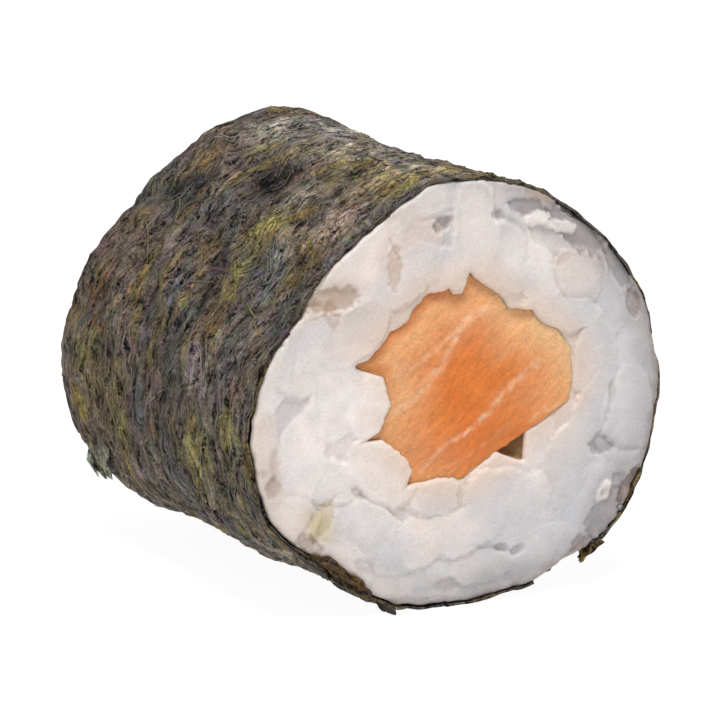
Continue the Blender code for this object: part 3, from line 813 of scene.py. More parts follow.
# Salmon: a stick cut from a raw fillet, its fat lines running from lower left to upper right
salmon = dict(
    # corners of the cut face in view, then of the stick's middle, in mm from the roll's axis
    frontEdge=[
        (8.3, 0.0), (8.2, 1.9), (7.3, 3.2), (6.0, 4.0), (5.4, 4.75), (3.9, 4.9), (3.0, 6.0), (2.0, 6.6),
        (1.2, 7.2), (0.8, 7.6), (0.6, 7.2), (0.45, 6.1), (-0.2, 6.1), (-0.6, 6.6), (-2.0, 6.4), (-3.1, 5.4),
        (-3.6, 4.6), (-4.7, 4.1), (-5.5, 3.1), (-6.3, 2.45), (-7.2, 2.3), (-7.0, 1.9), (-5.6, 1.7),
        (-5.2, 1.5), (-4.9, 0.6), (-4.8, -0.5), (-5.2, -1.2), (-5.5, -2.1), (-6.8, -2.65), (-5.4, -2.65),
        (-4.4, -3.4), (-3.6, -4.2), (-3.25, -4.9), (-3.9, -5.8), (-2.6, -5.7), (-1.2, -5.5), (-0.2, -5.6),
        (0.2, -5.8), (1.0, -5.4), (2.0, -4.8), (3.0, -4.3), (3.9, -3.9), (5.1, -3.15), (6.6, -2.3),
        (8.1, -1.4),
    ],
    middleEdge=[
        (8.0, 0.0), (7.6, 2.2), (5.4, 4.3), (2.9, 5.6), (0.8, 6.7), (-1.6, 6.3), (-3.6, 4.6), (-5.9, 2.9),
        (-4.9, 0.2), (-5.5, -2.2), (-4.0, -4.1), (-3.2, -5.6), (0.7, -5.7), (3.5, -4.1), (6.4, -2.7),
    ],
    twist=9.0,  # degrees from the front to the back
    plainFrom=(0.4, 4.5),  # the torn front edge lasts this deep, then runs into the plain one over this far
    coreShare=0.75,  # share of a face's rows that lie evenly inside its torn edge
    middleDepth=0.06,  # how far behind the cut plane the middle of the face lies
    rimReach=2.2,  # how far in from its edge the face slopes back
    rounding=0.12,
    grainTurn=38.0,  # degrees
    # how pale the flesh turns towards its rim, by clock angle
    paleness=[
        (0, 0.75), (28, 1.0), (60, 0.75), (100, 0.75), (135, 0.85), (175, 0.8), (225, 0.5), (265, 0.25),
        (300, 0.05), (335, 0.15),
    ],
    faceSteps=140,
    sideRows=[-13.2, -12.0, -10.0, -7.0, -3.5, 0.0, 3.5, 7.0, 10.0, 12.0, 13.2],
    # how far the face lies behind the rice's edge at its rim, by clock angle
    rimDepth=[
        (0, 0.10), (25, 0.12), (45, 0.5), (62, 0.3), (78, 0.5), (100, 0.32), (135, 0.34), (160, 0.34),
        (178, 0.2), (205, 0.34), (232, 0.34), (250, 0.2), (285, 0.2), (315, 0.4), (335, 0.15),
    ],
    # fat lines: width, strength, points
    fat=[
        (0.16, 0.55, [(-5.0, 1.1), (-3.4, 1.7), (-2.4, 2.2), (-1.6, 2.6)]),
        (
            0.30, 0.85,
            [
                (-4.2, -0.9), (-3.2, -0.2), (-2.4, 0.3), (-1.9, 1.1), (-1.2, 1.6), (-0.7, 2.5), (-0.2, 3.4),
                (0.4, 4.2), (1.3, 4.8), (2.4, 5.0),
            ],
        ),
        (0.22, 0.7, [(-2.5, 2.2), (-1.3, 2.8), (-0.8, 3.3), (0.1, 4.0)]),
        (0.17, 0.9, [(-2.6, -5.0), (-1.5, -3.9), (-0.7, -3.3), (0.4, -2.9), (1.6, -2.1)]),
        (0.26, 0.9, [(1.6, -2.1), (2.7, -1.0), (3.7, -0.1), (4.6, 0.5), (5.8, 1.3)]),
        (0.20, 0.5, [(5.3, -2.5), (6.2, -1.9), (7.4, -1.6)]),
        (0.14, 0.35, [(2.2, 1.3), (3.0, 1.7), (4.2, 2.6)]),
        (0.14, 0.3, [(-1.0, -5.0), (0.6, -4.4), (2.4, -3.4), (4.0, -2.6)]),
    ],
    paintedLipShadow=(130.0, 42.0),  # clock and reach of the painted shadow under the rice's lip
    flesh="#e08136",
    deep="#da7328",
    rim="#ebbc8b",
    fatColour="#ebbb96",
)


def edgeTable(corners):
    # Reach of a closed outline from the roll's axis, every tableStep degrees
    reach = []
    for i in range(int(360 / tableStep) + 1):
        cx, cz = cosSin(i * tableStep)
        best = 0.0
        for (ax, az), (bx, bz) in zip(corners, corners[1:] + corners[:1]):
            fx, fz = bx - ax, bz - az
            cross = cx * fz - cz * fx
            if abs(cross) < 1e-9:  # this side points straight at the axis
                continue
            along = (ax * fz - az * fx) / cross
            share = (ax * cz - az * cx) / cross
            if along > best and -1e-6 <= share <= 1.000001:
                best = along
        clock = i * tableStep
        waver = 0.10 * ringRipple(clock, 0.0, 4.5, 17.0) + 0.06 * ringRipple(clock, 0.0, 1.6, 19.0)
        reach.append(best + waver)
    return softTable(reach, 3)


def softTable(table, steps):
    # Each value becomes the mean of its neighbours within so many steps either way
    count = len(table) - 1
    spread = range(-steps, steps + 1)
    return [sum(table[(i + k) % count] for k in spread) / len(spread) for i in range(count + 1)]


def farTable(table, steps, pick):
    # Least or greatest value within so many steps either way
    count = len(table) - 1
    return [pick(table[(i + k) % count] for k in range(-steps, steps + 1)) for i in range(count + 1)]


frontEdgeTable = edgeTable(salmon["frontEdge"])
middleEdgeTable = edgeTable(salmon["middleEdge"])
roundEdgeTable = softTable(frontEdgeTable, 40)  # 10 degrees either way
# rounder rings just inside and outside the torn outline, where the faces' points lie evenly
coreTable = [0.9 * reach for reach in softTable(farTable(frontEdgeTable, 36, min), 30)]
collarTable = [reach + 0.5 for reach in softTable(farTable(frontEdgeTable, 36, max), 30)]


def salmonReach(clock, y):
    # The stick's outline: the torn front edge runs into plainer sides, which turn a little to the back
    t = y / roll["length"] + 0.5
    plain = fromTable(middleEdgeTable, clock + salmon["twist"] * ease(t))
    plain += 0.12 * ringRipple(clock, y / 6.0, 14.0, 51.0) * ease(4.0 * t)
    torn, over = salmon["plainFrom"]
    return blend(fromTable(frontEdgeTable, clock), plain, ease((y + halfLength - torn) / over))


def nearLine(x, z, points):
    # Distance to a line of several points
    best = math.inf
    for (ax, az), (bx, bz) in zip(points, points[1:]):
        fx, fz = bx - ax, bz - az
        t = min(max(((x - ax) * fx + (z - az) * fz) / (fx * fx + fz * fz), 0.0), 1.0)
        best = min(best, math.hypot(x - ax - t * fx, z - az - t * fz))
    return best


def fatWaver(x, z, y, seed):
    return 0.10 * ripple(x * 2.2, z * 2.2, seed + y) + 0.07 * ripple(x * 6.0, z * 6.0, seed + 1.0)


def fatAt(x, z, y):
    # Share of fat at a point of the stick. The lines waver, and drift towards the back
    t = ease(y / roll["length"] + 0.5)
    px, pz = inTurnedAxes(x, z, *cosSin(-salmon["twist"] * t))
    px += fatWaver(x, z, y, 61.0) + 0.5 * t * ripple(px / 3.0, pz / 3.0, 63.0)
    pz += fatWaver(x, z, y, 67.0) + 0.5 * t * ripple(px / 3.0, pz / 3.0, 69.0)
    share = 0.0
    for width, strength, points in salmon["fat"]:
        away = nearLine(px, pz, points) / width
        if away < 2.5:
            broken = 0.65 + 0.8 * ripple(px * 1.9, pz * 1.9, 71.0)
            share = max(share, 0.95 * strength * min(broken, 1.0) / (1.0 + (1.15 * away) ** 4))
    return min(max(share, 0.0), 1.0)


def salmonRelief(x, z, y):
    # Height of the cut flesh in mm: low waves along its grain, a fine tooth, and raised fat
    p, q = inTurnedAxes(x, z, *cosSin(salmon["grainTurn"]))
    height = 0.04 * ripple(p / 2.8, q / 0.7, 81.0) + 0.018 * ripple(p / 0.9, q / 0.30, 83.0)
    height += 0.022 * ripple(x / 0.28, z / 0.28, 87.0) + 0.06 * ripple(x / 2.4, z / 2.4, 89.0)
    height += fatAt(x, z, y) * (0.04 + 0.14 * ripple(p / 0.4, q / 0.3, 91.0))
    return height


salmonShades = [linear(salmon[k]) for k in ("flesh", "deep", "rim", "fatColour")]


def salmonColour(x, z, y, edge):
    # Clouded flesh, paler towards its edge, with painted shadow in deeper orange along its upper-left border,
    # under the rice's lip
    flesh, deep, rim, fat = salmonShades
    clock = math.degrees(math.atan2(z, x))
    colour = blendColour(flesh, deep, ease(0.4 + 1.5 * ripple(x / 2.6, z / 2.6, 95.0)) * 0.7)
    colour = blendColour(colour, rim, ease(1.0 - edge / 4.6) * curveByClock(salmon["paleness"], clock))
    lipShadowClock, lipShadowReach = salmon["paintedLipShadow"]
    lipShadow = ease(1.0 - edge / 1.1) * ease(1.6 - abs(clockGap(clock, lipShadowClock)) / lipShadowReach)
    colour = blendColour(colour, deep, 0.7 * lipShadow)
    return blendColour(colour, fat, fatAt(x, z, y))


def roundOver(away, size):
    # How far a rounded edge of this size drops at this distance from it
    if away >= size:
        return 0.0
    return size - math.sqrt(max(size ** 2 - (size - away) ** 2, 0.0))


def discPlace(u, v):
    # A square's points spread evenly over a disc: clock angle, and share of its reach
    a, b = 2.0 * u - 1.0, 2.0 * v - 1.0
    if abs(a) > abs(b):
        reach, clock = a, 45.0 * b / a
    elif b != 0.0:
        reach, clock = b, 90.0 - 45.0 * a / b
    else:
        reach, clock = 0.0, 0.0
    return clock if reach >= 0.0 else clock + 180.0, abs(reach)


def salmonFace(clock, share, front):
    # A point of a cut end, which lies back behind the rice along its rim
    face = -halfLength if front else halfLength
    reach = salmonReach(clock, face)
    inner = salmon["coreShare"]
    core = fromTable(coreTable, clock) if front else inner * reach
    radius = core * share / inner if share < inner else blend(core, reach, (share - inner) / (1.0 - inner))
    point = onClock(radius, clock, 0.0)
    edge = reach - radius
    if front:
        edge = min(edge, nearLine(point.x, point.z, salmon["frontEdge"]))
        depth = curveByClock(salmon["rimDepth"], clock)
    else:
        depth = 0.25 + 0.15 * ringRipple(clock, 2.0, 30.0, 5.0)
    depth = blend(salmon["middleDepth"], depth, ease(1.0 - edge / salmon["rimReach"]))
    depth += roundOver(edge, salmon["rounding"])
    relief = salmonRelief(point.x, point.z, face)
    point.y = (halfLength - depth + relief) * (-1.0 if front else 1.0)
    return point, salmonColour(point.x, point.z, face, edge), (point.x, point.z)


def salmonSide(u, v):
    clock = 360.0 * u
    sides = salmon["sideRows"]
    row = round(v * (len(sides) + 1))
    if row in (0, len(sides) + 1):
        return salmonFace(clock, 1.0, row == 0)
    y = sides[row - 1]
    point = onClock(salmonReach(clock, y) + 0.03 * ringRipple(clock, y / 2.0, 5.0, 93.0), clock, y)
    rim = salmonShades[2]
    colour = blendColour(salmonColour(point.x, point.z, y, 0.6), rim, 0.5)
    return point, colour, (point.x, point.z)


def salmonMaterial():
    # Raw salmon fillet: moist, translucent flesh with a soft shine, in which light spreads about a millimetre
    surface, tree = newMaterial("raw salmon flesh")
    tint = addNode(tree, "Attribute", {"attribute_name": "tint"})
    place = addNode(tree, "TexCoord")
    # muscle fibres about 0.3 mm across and 1 mm long, lying along the fat lines, and a speck of 0.15 mm
    lay = addNode(
        tree, "Mapping",
        {
            "vector_type": "TEXTURE", "Rotation": (0.0, math.radians(-42.0), 0.0),
            "Scale": (1.0 * mm, 1.0 * mm, 0.3 * mm),
        },
        {"Vector": place.outputs["Object"]},
    )
    streak = addNode(tree, "TexNoise", {"Scale": 1.0, "Detail": 4.0, "Roughness": 0.6}, {"Vector": lay})
    speck = addNode(
        tree, "TexNoise", {"Scale": 6800.0, "Detail": 2.0, "Roughness": 0.7},
        {"Vector": place.outputs["Object"]},
    )
    both = addNode(tree, "Math", {"operation": "ADD"}, {0: streak, 1: speck})
    shade = addNode(
        tree, "MapRange", {"From Min": 0.75, "From Max": 1.25, "To Min": 0.84, "To Max": 1.16},
        {"Value": both},
    )
    colour = addNode(tree, "VectorMath", {"operation": "SCALE"}, {0: tint.outputs["Color"], "Scale": shade})
    rough = addNode(
        tree, "MapRange", {"From Min": 0.3, "From Max": 0.7, "To Min": 0.30, "To Max": 0.48},
        {"Value": speck},
    )
    bump = addNode(tree, "Bump", {"Strength": 0.8, "Distance": 0.06 * mm}, {"Height": both})
    shader = addNode(
        tree, "BsdfPrincipled",
        {
            "IOR": 1.40, "Specular IOR Level": 0.45, "Subsurface Weight": 0.7,
            "Subsurface Radius": (1.0, 0.45, 0.22), "Subsurface Scale": 0.9 * mm,
        },
        {"Base Color": colour, "Roughness": rough, "Normal": bump},
    )
    addNode(tree, "OutputMaterial", {}, {"Surface": shader})
    return surface


def buildSalmon():
    steps = salmon["faceSteps"]
    mesh = bmesh.new()
    for front in (True, False):
        wrapGrid(mesh, steps, steps, lambda u, v, front=front: salmonFace(*discPlace(u, v), front))
    wrapGrid(mesh, 4 * steps, len(salmon["sideRows"]) + 1, salmonSide)
    closeSeams(mesh)
    finishPiece(mesh, "salmon-stick", "salmon", salmonMaterial())


buildSalmon()
print("salmon made")


# Rice: short grains stuck together and cut through with the roll. Heights are above the cut plane in mm
rice = dict(
    around=560,
    faceRows=(84, 56),
    collar=(0.2, 0.5),  # share of a face's rows beside the salmon, and how wide at least
    overhang=0.10,  # of the faces' edges over the salmon's bed
    clearance=0.03,  # from the nori
    lipRound=0.34,  # rounding of those edges
    rimDip=(233.0, 8.0, 0.55),  # clock, reach and depth of the dip at the lower left
    dentRoom=-0.9,  # how far under the nori's outer side the rice keeps between its ends
    bedPlainFrom=(0.4, 2.0),  # as for the salmon
    bedGap=0.05,  # between the bed and the salmon
    # seeded grains: seeds for both faces, tries, half lengths, half widths, crests, how close they may lie
    seeds=(5, 9),
    tries=3000,
    halfLengths=(1.9, 2.8),
    halfWidths=(1.15, 1.45),
    crests=(-0.22, 0.14),
    closeness=0.92,
    # how strongly tints show: grain by grain, as a painted highlight on a plate's edge, on bare places, and
    # on the cool far side
    grainTone=0.085,
    plateEdgeHighlight=0.4,
    bareGrey=0.2,
    coolSide=0.7,
    salmonPeach=(0.8, 2.6),  # strength and reach of the peach tint beside the salmon
    rimShadow=[(0.5, 0.7), (0.38, 2.8)],
    outerRows=[-13.9, -13.3, -11.5, -8.0, -3.0, 3.0, 8.0, 11.5, 13.3, 13.9],
    innerRows=[13.5, 12.2, 9.0, 5.0, 1.0, -3.0, -7.0, -10.0, -11.8, -12.7, -13.3, -13.8],
    # plates: how sharply they meet, the ground between them, their growth, and their edges' reach and drop
    blendSharpness=20.0,
    base=-0.15,
    spread=1.22,
    edgeFall=0.14,
    edgeDrop=0.21,
    hollowDepth=0.28,
    hollowShade=0.38,
    creaseDepth=0.26,
    # the empty corner at the stick's lower right, which takes the place of the edge between its ends
    gap=[(3.0, -4.3), (3.6, -4.65), (4.4, -4.95), (4.95, -5.1), (5.0, -4.0), (5.1, -3.15)],
    # grains seen one by one: x, z, half length, half width, turn, crest
    grains=[
        (-6.9, 8.7, 3.0, 1.9, 40, 0.08), (-3.3, 11.6, 2.4, 1.1, 25, 0.0), (-2.8, 9.3, 2.0, 1.6, 80, 0.02),
        (1.15, 10.4, 2.8, 1.4, 95, 0.16), (-1.0, 12.3, 1.9, 0.9, 5, -0.04), (3.9, 8.6, 2.4, 1.3, 100, 0.10),
        (5.7, 7.0, 1.9, 1.3, 120, 0.0), (8.7, 6.8, 1.75, 1.5, 150, 0.15), (7.6, 4.4, 2.5, 1.1, -5, 0.10),
        (5.5, 10.55, 0.9, 0.45, 0, -0.30), (7.2, 10.0, 1.2, 0.5, -5, -0.32),
        (10.9, 4.6, 1.8, 1.1, 100, -0.05), (12.6, 2.4, 1.9, 1.2, 85, -0.08), (10.0, 1.2, 2.2, 1.4, 85, 0.0),
        (12.3, -2.6, 2.7, 1.7, 82, 0.08), (9.9, -2.0, 2.0, 1.2, 70, 0.02), (8.2, -4.9, 2.4, 1.5, 60, 0.06),
        (11.2, -6.2, 1.5, 1.3, 0, -0.12), (8.8, -8.6, 2.6, 1.2, 62, 0.0), (6.2, -7.4, 2.2, 1.6, 20, 0.06),
        (3.4, -7.2, 2.4, 1.6, 0, 0.10), (3.9, -9.3, 1.7, 1.0, 0, 0.0), (0.6, -8.8, 2.4, 1.5, 10, 0.05),
        (-1.3, -6.7, 1.8, 1.0, -5, 0.12), (-2.2, -9.2, 2.0, 1.4, 30, 0.0), (-4.8, -9.6, 2.3, 1.5, -20, 0.0),
        (-5.3, -4.5, 2.3, 1.7, -50, 0.20), (-7.0, -7.7, 2.4, 1.3, -15, 0.02),
        (-11.8, -6.8, 1.9, 1.5, -30, 0.12), (-13.5, -2.4, 2.8, 0.9, 88, -0.02),
        (-11.0, -3.2, 2.6, 1.4, 80, 0.04), (-12.9, 2.6, 2.6, 1.1, 75, 0.0),
        (-10.5, 3.4, 2.5, 1.5, 62, 0.12), (-8.6, 0.6, 2.6, 1.5, 85, 0.06), (-7.2, 4.4, 2.5, 1.4, 35, 0.10),
        (-6.3, -0.4, 1.7, 1.2, 80, 0.12), (-3.6, 7.7, 2.4, 1.4, 30, 0.12), (-0.3, 7.9, 1.9, 1.3, 10, 0.12),
        (2.6, 6.9, 1.3, 0.9, 140, 0.05), (-9.2, -5.0, 2.2, 1.4, -10, 0.04),
        (-8.0, -10.2, 2.0, 1.1, -40, -0.10), (6.2, -10.6, 2.2, 1.1, 15, -0.04),
        (1.8, -11.6, 2.0, 1.0, 0, -0.10), (-2.0, -11.9, 2.0, 1.0, -5, -0.15),
        (-5.0, -11.9, 1.8, 0.9, -20, -0.10),
    ],
    # hollows: x, z, half width, half height, turn, depth, colour. Dark and brown are painted shade in the
    # pits; tan, grey and yellow are partly the rice's own tint, partly painted shade
    hollows=[
        (-8.8, 6.4, 1.7, 0.75, 6, 0.8, "tan"), (-8.8, 5.6, 0.4, 0.8, 10, 0.6, "tan"),
        (-4.5, 8.2, 0.35, 1.3, 0, 0.35, "tan"), (-1.15, 10.7, 0.55, 0.38, 35, 1.7, "dark"),
        (2.8, 10.95, 0.34, 0.25, -25, 1.3, "dark"), (4.9, 11.3, 1.3, 0.45, -12, 0.6, "grey"),
        (8.6, 9.5, 2.3, 0.9, -42, 0.9, "grey"), (8.3, 11.0, 1.2, 0.4, -35, 0.9, "brown"),
        (7.35, 7.85, 0.6, 0.25, 15, 0.6, "tan"), (11.7, 6.8, 1.6, 0.45, -60, 0.7, "grey"),
        (12.8, 4.5, 0.4, 0.8, 15, 1.0, "brown"), (10.5, -4.6, 0.8, 0.5, -20, 0.7, "grey"),
        (10.9, -8.9, 1.9, 1.0, 58, 0.8, "grey"), (11.9, -6.9, 0.5, 0.35, 0, 0.8, "grey"),
        (12.7, -7.6, 1.5, 0.4, 62, 1.0, "brown"), (3.25, -10.5, 0.36, 0.2, -10, 1.1, "dark"),
        (4.35, -10.8, 0.45, 0.18, 25, 1.0, "dark"), (-7.05, -5.85, 0.5, 0.2, -50, 1.0, "brown"),
        (-9.5, -7.3, 0.55, 1.3, -24, 0.5, "yellow"), (-10.4, -8.7, 1.0, 0.4, -40, 0.7, "tan"),
        (-12.8, -3.5, 0.2, 0.9, 0, 0.4, "tan"), (-12.9, -4.9, 0.42, 0.5, 0, 1.0, "brown"),
        (-13.6, -3.9, 0.35, 0.1, 0, 0.4, "dark"), (0.15, -6.9, 0.12, 0.6, 5, 0.45, "tan"),
        (-0.7, -12.5, 0.8, 0.3, 0, 0.5, "grey"), (3.7, -12.5, 0.35, 0.25, 0, 0.3, "grey"),
        (11.2, -1.1, 0.14, 0.5, 0, 0.4, "grey"), (-6.6, -10.6, 0.6, 0.3, -30, 0.3, "grey"),
        (9.0, -10.9, 0.5, 0.4, 30, 1.3, "brown"), (-4.75, 11.2, 0.3, 0.15, 40, 0.5, "tan"),
    ],
    # small pale plates inside the grey hollows: x, z, half width, half height, turn
    islands=[(5.6, 10.5, 1.0, 0.42, 5), (7.3, 9.9, 1.3, 0.4, -12), (10.7, -7.6, 0.9, 0.5, 60)],
    # creases: width, depth, points
    creases=[
        (0.16, 0.40, [(-10.0, -6.2), (-9.0, -6.45), (-8.0, -6.6), (-7.3, -6.2)]),
        (0.16, 0.30, [(-10.2, 5.4), (-9.4, 5.7), (-8.9, 5.3), (-8.6, 4.5)]),
        (0.16, 0.35, [(1.9, 12.6), (2.3, 11.6), (2.7, 10.9)]),
        (0.18, 0.40, [(2.8, 10.8), (3.6, 10.6), (4.6, 9.9), (5.0, 9.2), (4.9, 7.9)]),
        (0.18, 0.30, [(7.3, 7.8), (7.0, 6.6), (7.3, 5.5), (8.3, 5.25), (9.3, 5.2), (10.2, 4.5)]),
        (0.18, 0.35, [(10.1, 7.9), (10.5, 6.7), (10.3, 5.6)]),
        (0.18, 0.40, [(11.2, -0.6), (11.1, -1.8), (10.8, -3.0), (10.3, -3.9)]),
        (0.18, 0.45, [(10.4, -3.8), (11.2, -4.5), (12.0, -5.0), (13.3, -5.1)]),
        (0.22, 0.55, [(-9.9, -6.3), (-10.2, -7.2), (-10.9, -8.1), (-11.4, -8.6)]),
        (0.16, 0.25, [(-12.4, -5.4), (-11.2, -5.5), (-10.2, -6.1)]),
        (0.16, 0.25, [(-4.9, 7.1), (-5.2, 8.4), (-5.0, 9.6)]),
        (0.10, 0.45, [(-4.8, 10.0), (-4.5, 9.3), (-4.2, 8.7)]),
        (0.16, 0.30, [(-12.3, 5.4), (-11.4, 3.6), (-11.6, 1.6)]),
        (0.14, 0.30, [(-2.6, 11.0), (-1.6, 11.2), (-0.6, 11.5)]),
        (0.14, 0.25, [(0.1, 11.2), (0.0, 9.6), (0.3, 8.3)]),
        (0.16, 0.25, [(5.9, -5.6), (6.6, -6.2), (6.9, -7.2), (6.6, -8.4)]),
        (0.14, 0.22, [(-4.0, -7.0), (-2.6, -8.0), (-0.6, -7.8), (0.8, -7.3)]),
        (0.14, 0.22, [(1.2, -10.2), (2.6, -10.3), (3.2, -10.4)]),
        (0.14, 0.22, [(-10.0, 1.9), (-9.7, -0.6), (-9.9, -2.4)]),
    ],
    # broad soft tints: x, z, half width, half height, turn, colour, strength
    zones=[
        (-9.2, 6.5, 2.4, 1.0, 20, "tan", 0.5), (8.8, 9.6, 3.6, 1.5, -42, "grey", 0.42),
        (5.2, 11.2, 1.8, 0.8, -15, "grey", 0.3), (12.9, 4.0, 3.0, 0.9, 100, "grey", 0.25),
        (11.0, -8.0, 3.2, 1.5, 58, "grey", 0.42), (10.6, -4.4, 1.2, 0.8, -20, "grey", 0.3),
        (3.8, -12.2, 2.6, 0.9, 0, "grey", 0.35), (-3.0, -12.0, 2.4, 0.8, -10, "grey", 0.22),
        (-9.7, -7.7, 1.5, 1.0, -30, "yellow", 0.5), (-12.9, -4.6, 0.7, 1.4, 0, "tan", 0.3),
        (-8.0, -1.0, 3.6, 4.6, 0, "bright", 0.7), (-5.5, -7.0, 3.4, 2.4, -20, "bright", 0.5),
        (4.6, 8.2, 1.8, 1.4, 0, "bright", 0.5), (6.1, 12.0, 1.2, 0.5, -15, "tan", 0.5),
        (-5.0, 8.4, 0.8, 1.4, 10, "tan", 0.22),
    ],
    white="#e8dfdb",
    bright="#f8eee9",
    # edge: the colour of the painted highlight along the plates' edges
    edge="#f2ece8",
    rimShadowGrey="#8f8580",
    peach="#e6cdbb",
    cool="#c8c7cb",
    edgeWarm="#d6c3ae",
    tan="#bf9d7d",
    brown="#8a6448",
    dark="#5d3d2a",
    grey="#948b8d",
    yellow="#ccb680",
    holeWall="#b89f78",
)


def grainSpots(x, z, half, w, turn):
    # Three discs along a grain, which keep others off it
    c, s = cosSin(turn)
    return [(x + k * c * (half - w), z + k * s * (half - w), 0.8 * w) for k in (-1, 0, 1)]


def tooClose(a, b):
    return math.hypot(a[0] - b[0], a[1] - b[1]) < rice["closeness"] * (a[2] + b[2])


def grainList(front):
    # The named grains, then seeded ones side by side in what room they leave
    draw = random.Random(rice["seeds"][0 if front else 1])
    grains = list(rice["grains"]) if front else []
    face = -halfLength if front else halfLength
    spots = [(x, z, 0.85 * w) for x, z, _, w, _, _ in grains]
    for grain in grains:
        ends = grainSpots(*grain[:5])
        spots += ends[::2]
    for attempt in range(rice["tries"]):
        x, z = draw.uniform(-15, 15), draw.uniform(-14, 14)
        turn = draw.uniform(0, 180)
        half, w = draw.uniform(*rice["halfLengths"]), draw.uniform(*rice["halfWidths"])
        if attempt > rice["tries"] // 2:  # smaller ones for the last gaps
            half, w = 0.7 * half, 0.8 * w
        clock, reach = math.degrees(math.atan2(z, x)), math.hypot(x, z)
        if not salmonReach(clock, face) + 0.6 * w < reach < rollRadius(clock, face) - 0.7 * w:
            continue
        trial = grainSpots(x, z, half, w, turn)
        if any(tooClose(new, old) for new in trial for old in spots):
            continue
        spots += trial
        grains.append((x, z, half, w, turn, draw.uniform(*rice["crests"])))
    return grains


def inCells(shapes):
    # Shapes listed by the 1 mm cells they reach
    cells = {}
    for shape in shapes:
        x, z, a, b = shape[:4]
        far = max(a, b) + 0.6
        for i in range(math.floor(x - far), math.floor(x + far) + 1):
            for j in range(math.floor(z - far), math.floor(z + far) + 1):
                cells.setdefault((i, j), []).append(shape)
    return cells


def turned(shape):
    # The shape with its turn given as cosine and sine
    x, z, a, b, turn = shape[:5]
    return (x, z, a, b, *cosSin(turn), *shape[5:])


faceGrains = {front: inCells([turned(grain) for grain in grainList(front)]) for front in (True, False)}
faceHollows = inCells([turned(hollow) for hollow in rice["hollows"]])
zones = [turned(zone) for zone in rice["zones"]]
islands = [turned(island) for island in rice["islands"]]


def grainHeight(x, z, grains):
    # The knife leaves each grain a flat plate that laps over lower ones with a small rounded step.
    # Gives the height, how peachy or bluish and how light the top grain is, how near its edge is,
    # where a painted highlight goes, and how bare of plates the place is
    k = rice["blendSharpness"]
    wx = x + 0.26 * ripple(x / 1.1, z / 1.1, 201.0) + 0.12 * ripple(x / 0.4, z / 0.4, 203.0)
    wz = z + 0.26 * ripple(x / 1.1, z / 1.1, 207.0) + 0.12 * ripple(x / 0.4, z / 0.4, 209.0)
    bare = total = math.exp(k * (rice["base"] + 0.08 * ripple(x / 1.6, z / 1.6, 101.0)))
    lean = tone = glow = 0.0
    for gx, gz, a, b, c, s, crest in grains.get((math.floor(x), math.floor(z)), ()):
        p, q = inTurnedAxes(wx - gx, wz - gz, c, s)
        p += 0.25 * q * q / b
        r = math.hypot(p / a, q / b) / rice["spread"]
        inside = (1.0 - r) * b * rice["spread"]
        if inside > -0.1:
            slope = 0.05 * math.sin(3.1 * gx + 1.7 * gz) * p / a + 0.05 * math.sin(2.3 * gz) * q / b
            fall = rice["edgeDrop"] * (1.0 - ease((inside + 0.1) / (rice["edgeFall"] + 0.1)))
            weight = math.exp(k * (0.7 * crest + slope - 0.05 * r * r - fall))
            total += weight
            lean += weight * math.sin(5.7 * gx + 3.9 * gz)
            tone += weight * (math.sin(7.3 * gx - 4.1 * gz) + 1.1 * (0.5 - r * r))
            glow += weight * max(0.0, 1.0 - abs(inside - 0.2) / 0.16)
    return math.log(total) / k, lean / total, tone / total, glow / total, bare / total


riceShades = {name: linear(value) for name, value in rice.items() if isinstance(value, str)}


